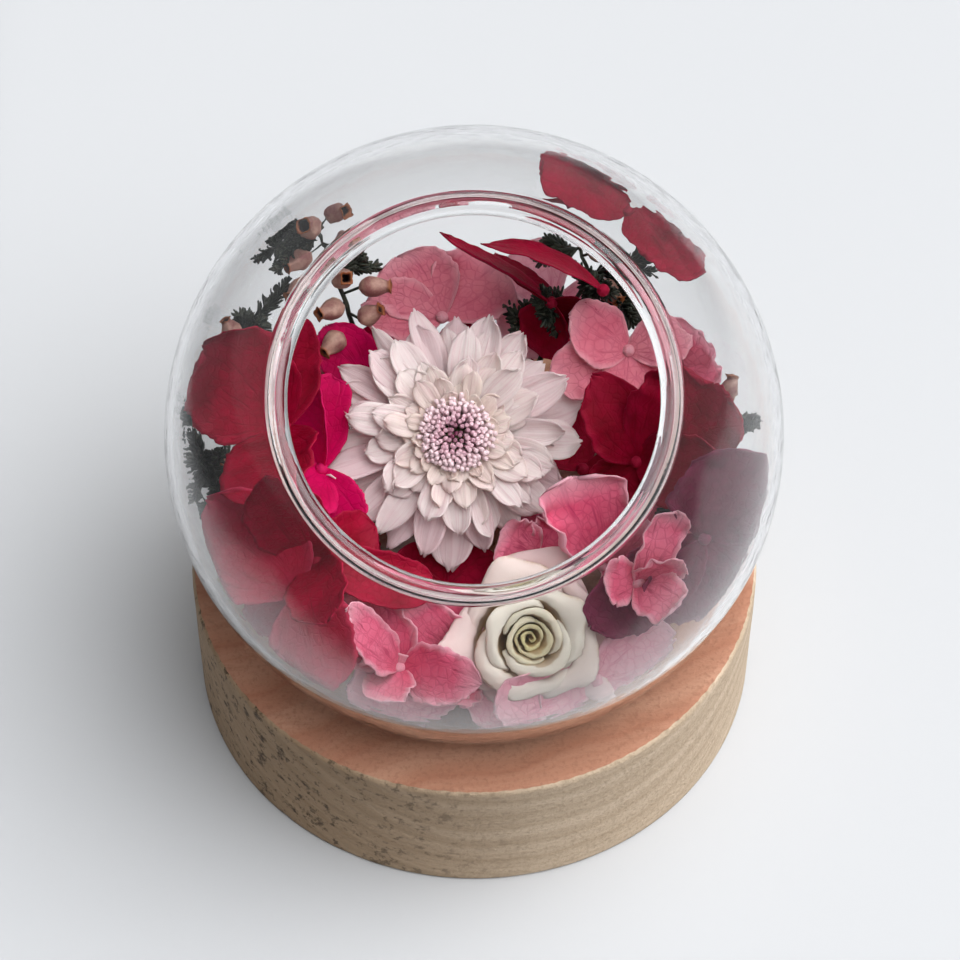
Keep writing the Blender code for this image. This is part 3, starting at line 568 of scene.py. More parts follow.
def calyx_and_stem(name, middle, depth, spread, stem_radius, material):
    """A cup of green bracts under a bloom and its stem, one profile swept down to the globe's floor."""
    top = middle - OUTWARD * (depth - 6.0 * MM)
    bend = middle - OUTWARD * depth
    foot = np.array([bend[0], bend[1], FLOOR_INSIDE + 0.8 * MM])
    share = np.linspace(0, 1, 9)[:, None]
    curve = (1 - share) ** 2 * top + 2 * share * (1 - share) * bend + share ** 2 * foot
    radii = np.array([spread, spread * 0.85, spread * 0.5, 2.4 * MM, 1.6 * MM] + [stem_radius] * 4)
    rings = rod_rings(curve + GLOBE_CENTRE, radii, 14)
    stalk = mesh_piece(name, rings.reshape(-1, 3), lathe_faces(len(rings), 14)[:, ::-1], [material])
    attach(stalk, "root")
    return stalk


def stem_material(name):
    """Dull grey green, clouded finely with a darker green."""
    material, tree, shader = plain_material(name, (0.12, 0.15, 0.06), 0.7)
    streak = linked_noise(tree, node(tree, "ShaderNodeTexCoord").outputs["Object"], 900.0)
    tone = linked_mix(tree, linked_range(tree, streak, 0.35, 0.7), (0.10, 0.13, 0.05), (0.22, 0.24, 0.11))
    tree.links.new(tone, shader.inputs["Base Color"])
    return material


rng = np.random.default_rng(11)
mum_middle = slope_point(MUM_PLACE)
outer = np.array(OUTER_PETALS, float)
outer_start = np.linspace(-2.6, -0.9, len(outer))[:, None, None]
mum_sheets = [ray_petals(np.radians(outer[:, 0]), *outer[:, 1:].T, 3.0, outer_start, rng)]
mum_shades = [rng.uniform(0, 0.4, len(outer))]
for count, length, width, base_rise, tip_rise, start, depth, shade in INNER_ROWS:
    turn = (np.arange(count) + rng.uniform(-0.35, 0.35, count)) * 2 * math.pi / count + rng.uniform(0, 6)
    lengths = length * rng.uniform(0.84, 1.06, count)
    widths = width * rng.uniform(0.8, 1.1, count)
    mum_sheets.append(ray_petals(turn, lengths, widths, base_rise, tip_rise, start, depth, rng))
    mum_shades.append(np.clip(shade + rng.uniform(-0.12, 0.12, count), 0, 1))
mum_solid = thick_sheets(np.concatenate(mum_sheets), MUM_PETAL_THICKNESS) + mum_middle + GLOBE_CENTRE
mum_uv, mum_tint = sheet_values(*PETAL_GRID, np.concatenate(mum_shades))
blush = strap_petal_material(
    "blush_petals",
    pink=(0.94, 0.76, 0.77),
    white=(0.98, 0.89, 0.86),
    cream=(0.98, 0.86, 0.77),
    base=(0.88, 0.54, 0.26),
    vein=(0.80, 0.55, 0.58),
    vein_amount=0.45,
    glow=0.40,
)
mum_faces = sheet_faces(*PETAL_GRID, len(mum_solid))
mum = mesh_piece("mum_petals", mum_solid.reshape(-1, 3), mum_faces, [blush], mum_uv, tint=mum_tint)

spiral = np.arange(BUTTON_TUBES) + 0.5
tube_far = np.sqrt(spiral / BUTTON_TUBES)
tube_turn = spiral * math.pi * (3 - math.sqrt(5))
tube_right = (tube_far * np.cos(tube_turn))[:, None]
tube_up = (tube_far * np.sin(tube_turn))[:, None]
tube_away = RIGHT * tube_right + UP_SLOPE * tube_up
tube_lean = tube_away * 1.1 + OUTWARD + rng.normal(0, 0.10, (BUTTON_TUBES, 3))
tube_lean /= np.linalg.norm(tube_lean, axis=1, keepdims=True)
dome = 1.9 + 2.3 * np.sqrt(1 - 0.92 * tube_far ** 2) - 0.7 * np.exp(-((tube_far / 0.3) ** 2))
tube_place = mum_middle + BUTTON_RADIUS * tube_away + OUTWARD * (dome * MM)[:, None]
tube_length = (1.7 + 0.9 * tube_far) * rng.uniform(0.85, 1.1, BUTTON_TUBES) * MM
button_points, button_faces, each = tube_swarm(tube_place + GLOBE_CENTRE, tube_lean, tube_length, TUBE_RADIUS)
button_shade = np.repeat(np.clip(tube_far + rng.uniform(-0.12, 0.12, BUTTON_TUBES), 0, 1), each)
button_look, button_tree, button_shader = plain_material("button_tubes", (0.45, 0.20, 0.28), 0.5)
button_tint = node(button_tree, "ShaderNodeAttribute", attribute_name="tint").outputs["Fac"]
button_heart = linked_range(button_tree, button_tint, 0.05, 0.40)
button_edge = linked_range(button_tree, button_tint, 0.40, 0.85)
button_tone = linked_mix(button_tree, button_heart, (0.16, 0.02, 0.06), (0.62, 0.36, 0.42))
button_tone = linked_mix(button_tree, button_edge, button_tone, (0.82, 0.62, 0.64))
button_tree.links.new(button_tone, button_shader.inputs["Base Color"])
button = mesh_piece("mum_button", button_points, button_faces, [button_look], tint=button_shade)

green_stem = stem_material("green_stem")
mum_stem = calyx_and_stem("mum_calyx", mum_middle, 9.0 * MM, 5.0 * MM, 1.4 * MM, green_stem)
for piece in (mum, button, mum_stem):
    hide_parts("chrysanthemum")
for piece in (mum, button):
    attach(piece, "root")

# The rose
# One small preserved cream rose: a recessed green-yellow heart wrapped in a tight spiral, then broad
# petals that flare outwards to blunt points, the outermost pale pink, each petal warm brown low down
# as painted shade in the gaps between them and browned in places at the lip, on its stem.
ROSE_PLACE = (8.0, -32.0, 0.0)
ROSE_LEAN = (0.20, -0.15)
ROSE_GRID = (34, 31)
ROSE_SIZE = 1.1
# A petal: the angle it faces, the half angle it spans, its radius at the base and where it turns
# over, those two heights, how far its lip flares beyond, how pointed the lip is, and its shade
# from heart to outside.
ROSE_PETALS = (
    (40, 170, 0.3, 0.6, 0.5, 4.3, 0.15, 0.0, 0.0),
    (215, 150, 0.5, 1.15, 0.3, 4.6, 0.3, 0.0, 0.05),
    (100, 130, 0.8, 1.75, 0.2, 4.9, 0.4, 0.1, 0.10),
    (335, 125, 1.0, 2.35, 0.0, 5.2, 0.5, 0.1, 0.16),
    (190, 115, 1.2, 2.95, -0.3, 5.5, 0.7, 0.1, 0.24),
    (65, 105, 1.5, 3.6, -0.6, 5.7, 0.9, 0.2, 0.32),
    (300, 95, 1.8, 4.2, -1.0, 5.7, 1.3, 0.2, 0.40),
    (150, 82, 2.0, 4.9, -1.5, 5.5, 1.9, 0.5, 0.50),
    (30, 80, 2.2, 5.5, -2.0, 5.1, 2.4, 0.7, 0.56),
    (248, 78, 2.4, 6.1, -2.5, 4.5, 2.7, 0.3, 0.62),
    (325, 72, 2.6, 6.9, -3.0, 3.8, 2.7, 0.4, 0.70),
    (112, 70, 2.8, 7.5, -3.5, 3.1, 3.0, 0.7, 0.78),
    (192, 60, 3.0, 7.9, -4.0, 2.3, 3.2, 1.2, 0.88),
    (8, 60, 3.0, 8.4, -4.3, 1.7, 3.0, 0.9, 0.90),
    (268, 60, 3.0, 8.0, -4.6, 0.9, 3.0, 0.3, 0.95),
    (322, 46, 3.0, 8.4, -5.0, 0.3, 3.2, 1.4, 1.0),
    (66, 54, 3.0, 9.0, -5.0, 0.1, 2.8, 0.6, 1.0),
)


def wrapped_petal(row, rng):
    """The middle surface of one rose petal over s from base to lip and q across it.

    Up to s = 0.55 the radius grows as a root of s and the height as s; beyond, the surface turns
    over through 105 degrees: the radius gains the flare times one less a cosine, the height a third
    of it times a sine. The flare fades with q to the fourth, so the sides tuck in, and a bell of q
    draws the lip out to a point. The last fifth droops, less so at the point. q also winds the petal
    slowly outwards.
    """
    facing, span, base_radius, turn_radius, base_height, turn_height, flare, point, _ = row
    s = np.linspace(0, 1, ROSE_GRID[0])[:, None]
    q = np.linspace(-1, 1, ROSE_GRID[1])[None, :]
    body = np.clip(s / 0.55, 0, 1)
    over = np.clip((s - 0.55) / 0.45, 0, 1) * math.radians(105)
    tucked = 1 - np.abs(q) ** 4
    swell = np.sin(rng.uniform(2, 5) * q + rng.uniform(0, 6))
    unevenness = 1 + 0.10 * swell + 0.05 * np.sin(rng.uniform(7, 11) * q)
    bell = np.exp(-((q / 0.20) ** 2))
    drawn = 1 + point * (bell - 0.35 * q ** 2)
    sweep = flare * (0.25 + 0.75 * tucked) * unevenness * drawn
    turn = math.radians(facing) + q * math.radians(span) * (0.6 + 0.4 * body)
    flat = 1 - 0.05 * min(1.0, turn_radius / 6) * np.cos(3 * (turn - math.radians(30)))
    radius = (base_radius + (turn_radius - base_radius) * body ** 0.7) * flat + 0.35 * q * body
    radius = radius + sweep * (1 - np.cos(over)) / (1 - math.cos(math.radians(105)))
    height = base_height + (turn_height - base_height) * body * (1 - 0.16 * np.abs(q) ** 3 * body)
    droop = 0.25 * flare * (np.clip(s - 0.8, 0, 1) / 0.2) ** 2 * (1 - 1.5 * point * bell)
    height = height + 0.35 * sweep * np.sin(over) - droop
    radial = RIGHT * np.cos(turn)[..., None] + UP_SLOPE * np.sin(turn)[..., None]
    lean = (RIGHT * ROSE_LEAN[0] + UP_SLOPE * ROSE_LEAN[1] + OUTWARD) * height[..., None]
    return (radial * radius[..., None] + lean) * ROSE_SIZE * MM


rng = np.random.default_rng(23)
rose_middle = slope_point(ROSE_PLACE)
rose_sheets = np.stack([wrapped_petal(row, rng) for row in ROSE_PETALS])
rose_solid = thick_sheets(rose_sheets, 0.24 * MM) + rose_middle + GLOBE_CENTRE
rose_uv, rose_tint = sheet_values(*ROSE_GRID, [row[8] for row in ROSE_PETALS])
cream, cream_tree, cream_shader = plain_material("cream_petals", (0.94, 0.88, 0.78), 0.45)
_, cream_along, cream_shade, cream_place = petal_place(cream_tree)
cream_cloud = linked_noise(cream_tree, cream_place, 300.0, 4.0)
heart_share = linked_range(cream_tree, cream_shade, 0.02, 0.42)
outer_share = linked_range(cream_tree, cream_shade, 0.55, 1.0)
# painted shade: the lower part of each petal, where the petals crowd together
gap_painted_shade = linked_range(cream_tree, cream_along, 0.66, 0.40, 0.0, 0.85)
lip_place = linked_range(cream_tree, cream_along, 0.95, 1.0)
lip_cloud = linked_range(cream_tree, cream_cloud, 0.52, 0.68, 0.0, 0.55)
lip_share = linked_float(cream_tree, "MULTIPLY", lip_place, lip_cloud)
cream_tone = linked_mix(cream_tree, heart_share, (0.68, 0.60, 0.30), (0.93, 0.87, 0.76))
cream_tone = linked_mix(cream_tree, outer_share, cream_tone, (0.93, 0.72, 0.70))
# painted shade: that lower part is mixed to warm brown
cream_tone = linked_mix(cream_tree, gap_painted_shade, cream_tone, (0.58, 0.36, 0.13))
cream_tone = linked_mix(cream_tree, lip_share, cream_tone, (0.60, 0.38, 0.18))
finish_petal(cream_tree, cream_shader, cream_tone, cream_cloud, 0.3, 0.3 * MM, 0.3)
rose_faces = sheet_faces(*ROSE_GRID, len(rose_solid))
rose = mesh_piece("rose_petals", rose_solid.reshape(-1, 3), rose_faces, [cream], rose_uv, tint=rose_tint)
rose_stem = calyx_and_stem("rose_calyx", rose_middle, 10.0 * MM, 4.5 * MM, 1.4 * MM, green_stem)
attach(rose, "root")
for piece in (rose, rose_stem):
    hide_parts("rose")

# The hydrangea florets
# Preserved hydrangea florets, each with up to four broad sepals on one small button. They are
# pressed together inside the globe, and those at the outside lie flat against the glass.
BLOOM_REACH = INNER_RADIUS - 0.45 * MM
BLOOM_FLOOR = FLOOR_INSIDE + 0.45 * MM
SEPAL_THICKNESS = 0.22 * MM
SEPAL_GRID = (30, 23)


def held_in_globe(points, margin=0.0):
    """Points moved inwards where they would pass the glass wall or the floor, less a margin."""
    reach = BLOOM_REACH - margin
    far = np.linalg.norm(points, axis=-1, keepdims=True)
    points = points * np.minimum(1.0, reach / np.maximum(far, 1e-9))
    points[..., 2] = np.maximum(points[..., 2], BLOOM_FLOOR + margin)
    return points


def sepal_middle(heart, tip, width, roll, arch, blunt, rng, ruffle, curls):
    """The middle surface of one sepal over s along it and q across it.

    The midline runs from heart to tip and is lifted by an arch 4 a s (1 - s). The half width grows
    from the button and ends as a root of one less a power of s, a high power making a blunt end;
    each side is uneven in its own way. Across, the surface is walked outwards from the midline in
    equal steps whose slope is a shallow trough, plus waves that grow towards the edge, plus each
    side's curl, which sets in over the last third; the midline is walked the same way and turns up by
    the tip's curl. It faces out of the mouth, a little more to the side the nearer it lies to the
    glass; roll turns it about its length.
    """
    along = tip - heart
    length = np.linalg.norm(along)
    along = along / length
    facing = OUTWARD + 0.15 * (heart + tip) / BLOOM_REACH
    facing = facing - along * (facing @ along)
    facing /= np.linalg.norm(facing)
    angle = math.radians(roll)
    facing = facing * math.cos(angle) + np.cross(along, facing) * math.sin(angle)
    side = np.cross(facing, along)
    s = np.linspace(0, 1, SEPAL_GRID[0])[:, None]
    q = np.linspace(-1, 1, SEPAL_GRID[1])[None, :]
    widest = rng.uniform(0.34, 0.52)
    grown = np.clip(s / widest, 0, 1)
    ended = (1 - np.clip((s - widest) / (1 - widest), 0, 1) ** blunt) ** 0.5
    pace = rng.uniform(4, 7) + 2 * np.sign(q)
    broad_waves = np.sin(pace * s * math.pi + rng.uniform(0, 6))
    fine_waves = np.sin((19 + 4 * np.sign(q)) * s * math.pi)
    uneven = 1 + (0.035 * broad_waves + 0.018 * fine_waves) * grown
    half = width / 2 * (0.14 + 0.86 * np.sin(grown * math.pi / 2) ** 0.85) * (0.10 + 0.90 * ended) * uneven
    skew = rng.uniform(-0.16, 0.16) * width * s ** 2
    slant = rng.uniform(-0.06, 0.06) * q
    notches = np.cos(rng.uniform(9, 13) * q + rng.uniform(0, 6))
    reach = 1 - (slant + 0.02 * q ** 2 + 0.012 * notches) * s
    bend = 4 * ruffle * np.cos(rng.uniform(3, 6) * s * math.pi + rng.uniform(0, 6)) * q * s
    bend = bend + 3 * ruffle * np.cos(rng.uniform(7, 11) * s * math.pi + rng.uniform(0, 6)) * np.abs(q) * s
    hooked = np.clip((np.abs(q) - 0.62) / 0.38, 0, 1)
    curled_along = np.sin(math.pi * np.clip(s * 1.08, 0, 1)) ** 0.6
    bend = bend + 0.25 * q + hooked * np.where(q < 0, -curls[0], curls[1]) * curled_along
    centre = SEPAL_GRID[1] // 2
    across = np.cumsum(np.cos(bend), axis=1)
    lift = np.cumsum(np.sin(bend), axis=1)
    step = half * 2 / (SEPAL_GRID[1] - 1)
    across = (across - across[:, centre : centre + 1]) * step + skew
    upturn = curls[2] * np.clip((s - 0.7) / 0.3, 0, 1)
    forward = np.cumsum(np.cos(upturn), axis=0) - 1
    rise = np.cumsum(np.sin(upturn), axis=0) * length / (SEPAL_GRID[0] - 1)
    lift = (lift - lift[:, centre : centre + 1]) * step + 4 * arch * s * (1 - s) + rise
    return (
        heart
        + along * (length * forward / (SEPAL_GRID[0] - 1) * reach)[..., None]
        + side * across[..., None]
        + facing * lift[..., None]
    )


def petal_material(name, deep, pale, vein_tone, edge_tone, edge_amount, vein_amount):
    """Dried petal: two mottled tones, veins that fan out, a net between them and a tinted edge."""
    material, tree, shader = plain_material(name, pale, 0.5)
    across, along, shade, place = petal_place(tree)
    centred = linked_float(tree, "SUBTRACT", across, 0.5)
    fan_place = {
        "X": linked_float(tree, "DIVIDE", centred, linked_float(tree, "MULTIPLY_ADD", along, 0.9, 0.25)),
        "Y": linked_float(tree, "MULTIPLY", along, 0.16),
        "Z": linked_float(tree, "MULTIPLY", shade, 40.0),
    }
    fan = linked_noise(tree, node(tree, "ShaderNodeCombineXYZ", fan_place).outputs[0], 9.0)
    net = node(tree, "ShaderNodeTexVoronoi", {"Vector": place, "Scale": 700.0}, feature="DISTANCE_TO_EDGE")
    net_lines = linked_range(tree, net.outputs["Distance"], 0.0, 0.12, 0.5, 0.0)
    veins = linked_float(tree, "MAXIMUM", linked_range(tree, fan, 0.53, 0.66), net_lines)
    mottle = linked_range(tree, linked_noise(tree, place, 160.0, 4.0), 0.35, 0.65)
    paleness = linked_float(tree, "MULTIPLY_ADD", shade, 0.5, linked_float(tree, "MULTIPLY", mottle, 0.5))
    sideways = linked_float(tree, "MULTIPLY", linked_float(tree, "ABSOLUTE", centred), 2.0)
    outwards = linked_float(tree, "MAXIMUM", sideways, along)
    edge = linked_range(tree, outwards, 0.72, 1.0, 0.0, edge_amount)
    underside = node(tree, "ShaderNodeAttribute", attribute_name="underside").outputs["Fac"]
    tone = linked_mix(tree, paleness, deep, pale)
    tone = linked_mix(tree, linked_float(tree, "MULTIPLY", veins, vein_amount), tone, vein_tone)
    tone = linked_mix(tree, edge, tone, edge_tone)
    tone = linked_mix(tree, linked_float(tree, "MULTIPLY", underside, 0.55), tone, edge_tone)
    crinkle = linked_noise(tree, place, 420.0, 4.0)
    relief = linked_float(tree, "MULTIPLY_ADD", veins, -0.8, crinkle)
    finish_petal(tree, shader, tone, relief, 0.45, 0.25 * MM, 0.3)
    return material


# The finishes: deep tone, pale tone, vein tone, edge tone, and how strong the edge and the veins are.
PETAL_TONES = {
    "crimson_petals": (
        (0.18, 0.001, 0.009), (0.48, 0.003, 0.040), (0.12, 0.001, 0.008), (0.50, 0.015, 0.06),
        0.3, 0.4),
    "magenta_petals": (
        (0.48, 0.001, 0.06), (0.74, 0.002, 0.12), (0.32, 0.001, 0.04), (0.80, 0.02, 0.16),
        0.4, 0.35),
    "rose_petals": (
        (0.44, 0.004, 0.035), (0.62, 0.03, 0.09), (0.26, 0.003, 0.02), (0.66, 0.07, 0.15),
        0.4, 0.35),
    "mauve_petals": (
        (0.15, 0.005, 0.035), (0.32, 0.03, 0.09), (0.09, 0.003, 0.02), (0.36, 0.06, 0.13),
        0.4, 0.35),
    "pink_petals": (
        (0.78, 0.075, 0.18), (0.92, 0.24, 0.36), (0.52, 0.03, 0.11), (0.95, 0.54, 0.62),
        0.8, 0.65),
    "soft_pink_petals": (
        (0.78, 0.17, 0.25), (0.90, 0.34, 0.41), (0.58, 0.08, 0.16), (0.93, 0.52, 0.58),
        0.6, 0.6),
    "pale_pink_petals": (
        (0.92, 0.33, 0.44), (0.97, 0.50, 0.59), (0.70, 0.13, 0.23), (0.96, 0.66, 0.71),
        0.6, 0.5),
}
PETAL_FINISHES = {name: petal_material(name, *tones) for name, tones in PETAL_TONES.items()}

# A place is right, up the slope and outwards from the globe's centre, in millimetres. A sepal is
# its tip's place, its width, its roll about its own length, how far its middle arches out, how
# blunt its end is, its shade from deep to pale and, where it is strongly curled, how far its two
# sides and its tip turn over in radians. A floret's first numbers are how far it ruffles and how
# many sheets lie between it and the glass.
FLORETS = {
    "crimson_floret_right": ("crimson_petals", 0.03, 3, (26.4, -4.4, -3), (
        (19.7, 9.6, 3, 11.5, 0, 1, 2.5, 0.1), (40.9, 6.7, 6, 19, 0, 1, 6, 0.5),
        (22.4, -11.4, -5, 11, 0, 0, 3, 0), (40.3, -6.8, 8, 13, 10, 1, 3, 0.2))),
    "pink_floret_centre": ("pink_petals", 0.05, 0, (20.7, -21.1, -2), (
        (15.9, -5.9, 7, 16.5, 0, 1.5, 6, 0.35, (1.9, 2.2, 0.4)), (26.6, -13.3, 6, 9, 20, 1, 3, 0.7),
        (28.4, -23.2, 0, 10, 0, 0, 3, 0.3))),
    "pink_floret_lower_right": ("pink_petals", 0.08, 0, (26.1, -23.7, 8), (
        (31.1, -10.9, 12, 7.5, 10, 1, 6, 0.9, (0.9, 1.2, 0.9)), (20.1, -23.5, 13, 8, 0, 0, 4, 0.7),
        (33.0, -28.9, 14, 9, -10, 1, 2, 0.8, (0.2, 0, 1.6)), (31.9, -19.8, 14, 8, 30, 0, 3, 0.5))),
    "pink_floret_lower_left": ("pink_petals", 0.06, 4, (-12.1, -37.4, 2), (
        (-20.1, -24.1, 6, 14, 0, 1, 3.5, 0.1, (0.8, 1.3, 0.9)), (-21.7, -28.8, 16, 8, 45, 1, 3, 0.8),
        (0.9, -39.0, 10, 10, -15, 1, 2, 0.3), (-16.2, -43.1, 8, 9, 40, 0, 3, 0.7))),
    "pink_floret_lower_middle": ("pink_petals", 0.06, 3, (-2.7, -34.4, -2), (
        (-10.7, -26.1, 6, 9, 0, 1, 2.5, 0.6), (-3.9, -25.6, 2, 9, 0, 0, 3, 0.1),
        (-5.3, -43.6, 2, 12, 0, 0, 3, 0.2))),
    "crimson_floret_lower_left": ("crimson_petals", 0.03, 6, (-25.0, -19.9, 12), (
        (-6.2, -25.9, 8, 9, -25, 0, 3, 0.3), (-31.8, -5.9, 34.8, 13, 0, 1, 3, 0.6),
        (-23.4, -30.2, 28.2, 11, 0, 1, 3, 0.7), (-16.2, -15.3, 3, 10, 0, 0, 3, 0.2))),
    "magenta_floret_left": ("magenta_petals", 0.03, 8, (-25.0, -5.4, -7), (
        (-27.6, 13.4, -2, 8, -30, 1, 2.5, 0.7), (-24.4, 10.1, -8, 8.5, 0, 1, 5, 0.9),
        (-21.3, -16.0, -5, 10, 0, 1, 3, 0.8), (-33.9, -14.4, 2, 14, 0, 1, 3, 0.5))),
    "crimson_floret_left": ("crimson_petals", 0.05, 3, (-30.3, 1.3, 5.6), (
        (-42.7, 13.4, 15.8, 19, 0, 1, 4, 0.5), (-30.0, 18.4, -1, 12, 0, 1, 2.5, 0.3),
        (-32.1, -10.7, 26, 15, 0, 1, 4, 0.3))),
    "rose_floret_left": ("rose_petals", 0.02, 0, (-27.8, -24.8, 12), (
        (-41.1, -10.5, 21.4, 17, 0, 1, 3.5, 0.1), (-20.8, -39.8, 15.6, 14, 0, 1, 4, 0),
        (-36.5, -31.3, 0.0, 8, 0, 0, 3, 0.2))),
    "mauve_floret_right": ("mauve_petals", 0.02, 0, (36.6, -16.7, 8), (
        (44.5, -2.0, 16.7, 22, 0, 1, 5, 0.2), (39.5, -31.5, 0.0, 23, 0, 1, 8, 0.1),
        (19.0, -31.5, 6, 12, 0, 0, 4, 0.1))),
    "pink_floret_upper_right": ("soft_pink_petals", 0.05, 0, (25.5, 14.0, -11), (
        (14.9, 18.0, -8, 11, 0, 1, 3, 0.1), (12.7, 9.5, -9, 10.5, 0, 1, 3, 0.5),
        (26.6, 6.0, -8, 9.5, 0, 0, 2.5, 0.0), (35.6, 16.8, -9, 9, 0, 1, 3, 0.9))),
    "pink_floret_far_right": ("pink_petals", 0.05, 6, (33.1, 11.3, -18), (
        (29.4, 19.3, -18, 12, 0, 1, 3, 0.1), (38.8, 16.9, -14, 13, 0, 1, 3, 0.8),
        (39.9, 5.7, -12, 13, 0, 1, 3, 0.6))),
    "crimson_floret_blades": ("crimson_petals", 0.02, 0, (12.8, 22.0, -12), (
        (-6.2, 32.3, -6, 8, 62, 1, 2, 0.9), (22.0, 17.8, -11, 9, 55, 0, 2, 0.1),
        (3.9, 30.0, -18, 8, 50, 0, 2, 0.4), (11.0, 13.8, -18, 10, 25, 0, 2.5, 0.5))),
    "crimson_petal_upper": ("crimson_petals", 0.02, 0, (21.1, 23.6, -4), (
        (1.7, 31.0, 0, 10, 58, 1.5, 2, 0.8),)),
    # painted light: its two broad sepals take the palest shade, 1, as lit copies of the crimson
    "crimson_floret_top": ("crimson_petals", 0.03, 0, (25.7, 37.0, -8), (
        (11.1, 45.9, 0, 12, 0, 1, 7, 1, (2.6, 0.3, 0.1)),
        (38.1, 27.1, 0, 11.5, 0, 1, 10, 1, (0.3, 0.3, 0.2)), (7.5, 39.4, -10, 7, 70, 0, 2, 0.7))),
    "pale_floret_upper_left": ("soft_pink_petals", 0.04, 0, (-5.3, 20.0, -20), (
        (-12.7, 30.5, -22, 15, 0, 1, 3, 0.7), (3.3, 29.5, -24, 15, 0, 1, 3, 0.2),
        (-18.4, 21.9, -18, 11, 0, 0, 3, 0.4))),
    "pale_floret_upper": ("pale_pink_petals", 0.04, 0, (13.2, 22.3, -28), (
        (7.2, 32.5, -28, 12, 0, 1, 3, 0.9), (24.3, 18.7, -27, 13, 0, 1, 3, 0.2),
        (4.6, 17.4, -29, 12, 0, 0, 3, 0.8))),
    "deep_pink_floret_upper_left": ("magenta_petals", 0.03, 0, (-17.5, 9.0, -19), (
        (-24.2, 19.0, -17, 10, 0, 1, 3, 1.0), (-13.3, 17.2, -22, 10, 0, 0, 3, 0.6),
        (-25.3, 4.2, -20, 10, 0, 0, 3, 0.6))),
    "pink_floret_frilled": ("pink_petals", 0.14, 0, (10.3, -19.7, -8), (
        (4.4, -15.8, -6, 9, 0, 0, 6, 1.0), (15.5, -15.6, -8, 9, 0, 0, 6, 0.6))),
    "crimson_floret_under_rose": ("crimson_petals", 0.03, 0, (-4.8, -25.0, -12), (
        (-14.1, -20.2, -12, 12, 0, 0, 3, 0.2), (4.0, -21.8, -14, 11, 0, 0, 3, 0.9))),
    "crimson_floret_behind": ("crimson_petals", 0.03, 0, (18.0, -5.5, -15), (
        (12.5, 5.1, -16, 12, 0, 0, 3, 1.0), (27.6, -10.9, -14, 13, 0, 0, 3, 0.4))),
    "pale_floret_floor_left": ("pale_pink_petals", 0.04, 1, (-1.6, -41.9, 0), (
        (-20.8, -40.2, 2, 13, 0, 0, 4, 0.5), (10.6, -44.8, 3, 11, 0, 0, 4, 0.5))),
    "pale_floret_floor_right": ("pale_pink_petals", 0.04, 3, (19.6, -39.6, 2), (
        (32.6, -33.6, 3, 13, 0, 0, 4, 0.9), (3.1, -44.2, 6, 11, 0, 0, 4, 0.5))),
    "crimson_floret_back": ("crimson_petals", 0.03, 0, (0.0, 7.3, -35), (
        (-12.9, 13.2, -33, 14, 0, 0, 3, 1.0), (12.0, 10.3, -34, 13, 0, 0, 3, 0.0),
        (0.0, 19.9, -35, 13, 0, 0, 3, 0.7))),
    "pink_floret_back_left": ("pink_petals", 0.04, 3, (-23.8, 3.9, -28), (
        (-34.7, 9.1, -25, 13, 0, 0, 3, 0.2), (-24.7, 15.1, -28, 13, 0, 0, 3, 0.0),
        (-30.7, -6.3, -25, 13, 0, 0, 3, 0.6))),
    "crimson_floret_back_right": ("crimson_petals", 0.03, 3, (26.0, 0.9, -28), (
        (36.9, 6.2, -24, 13, 0, 0, 3, 0.9), (26.1, 11.2, -31, 13, 0, 0, 3, 0.3),
        (32.9, -9.2, -23, 13, 0, 0, 3, 0.1))),
    "pink_floret_floor_middle": ("pink_petals", 0.04, 6, (5.9, -9.2, -26), (
        (-8.2, -13.1, -24, 13, 0, 0, 3, 0.8), (18.2, -15.3, -20, 13, 0, 0, 3, 0.8))),
    "crimson_floret_floor_left": ("crimson_petals", 0.03, 10, (-21.6, -14.2, -17), (
        (-34.0, -11.9, -14, 14, 0, 0, 3, 0.5), (-21.3, -27.1, -10, 13, 0, 0, 3, 0.0))),
    "pink_floret_floor_right": ("pink_petals", 0.04, 8, (26.2, -18.0, -13), (
        (37.0, -15.0, -11, 13, 0, 0, 3, 0.8), (26.0, -29.8, -7, 13, 0, 0, 3, 0.5))),
}


def button_middle(heart, radius):
    """The floret's small button: a ball drawn as one closed sheet bent round until its edges meet."""
    s = np.linspace(0.02, math.pi - 0.02, SEPAL_GRID[0])[:, None]
    q = np.linspace(-math.pi, math.pi, SEPAL_GRID[1])[None, :]
    ball = np.stack([np.sin(s) * np.cos(q), np.sin(s) * np.sin(q), -np.cos(s) + 0 * q], axis=-1)
    return heart + ball @ SLOPE_AXES * radius


for number, (floret, (finish, ruffle, layer, heart_place, sepals)) in enumerate(FLORETS.items()):
    rng = np.random.default_rng(100 + number)
    heart = held_in_globe(slope_point(heart_place), 0.7 * MM)
    surfaces = [button_middle(heart + OUTWARD * 0.4 * MM, 0.95 * MM)]
    for order, (right, up, out, width, roll, arch, blunt, _, *curled) in enumerate(sepals):
        curls = curled[0] if curled else rng.uniform(-0.15, 0.55, 3)
        clearance = (0.05 + 0.24 * (layer + order)) * MM
        tip = held_in_globe(slope_point((right, up, out)), clearance)
        sheet = sepal_middle(heart, tip, width * MM, roll, arch * MM, blunt, rng, ruffle, curls)
        surfaces.append(held_in_globe(sheet, clearance))
    solid = thick_sheets(np.stack(surfaces), SEPAL_THICKNESS) + GLOBE_CENTRE
    uv, tint = sheet_values(*SEPAL_GRID, [0.5] + [sepal[7] for sepal in sepals])
    underside = np.tile(np.repeat([0.0, 1.0], SEPAL_GRID[0] * SEPAL_GRID[1]), len(surfaces))
    faces = sheet_faces(*SEPAL_GRID, len(surfaces))
    values = {"tint": tint, "underside": underside}
    look = PETAL_FINISHES[finish]
    piece = mesh_piece(floret + "_sepals", solid.reshape(-1, 3), faces, [look], uv, **values)
    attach(piece, "root")
    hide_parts(floret)

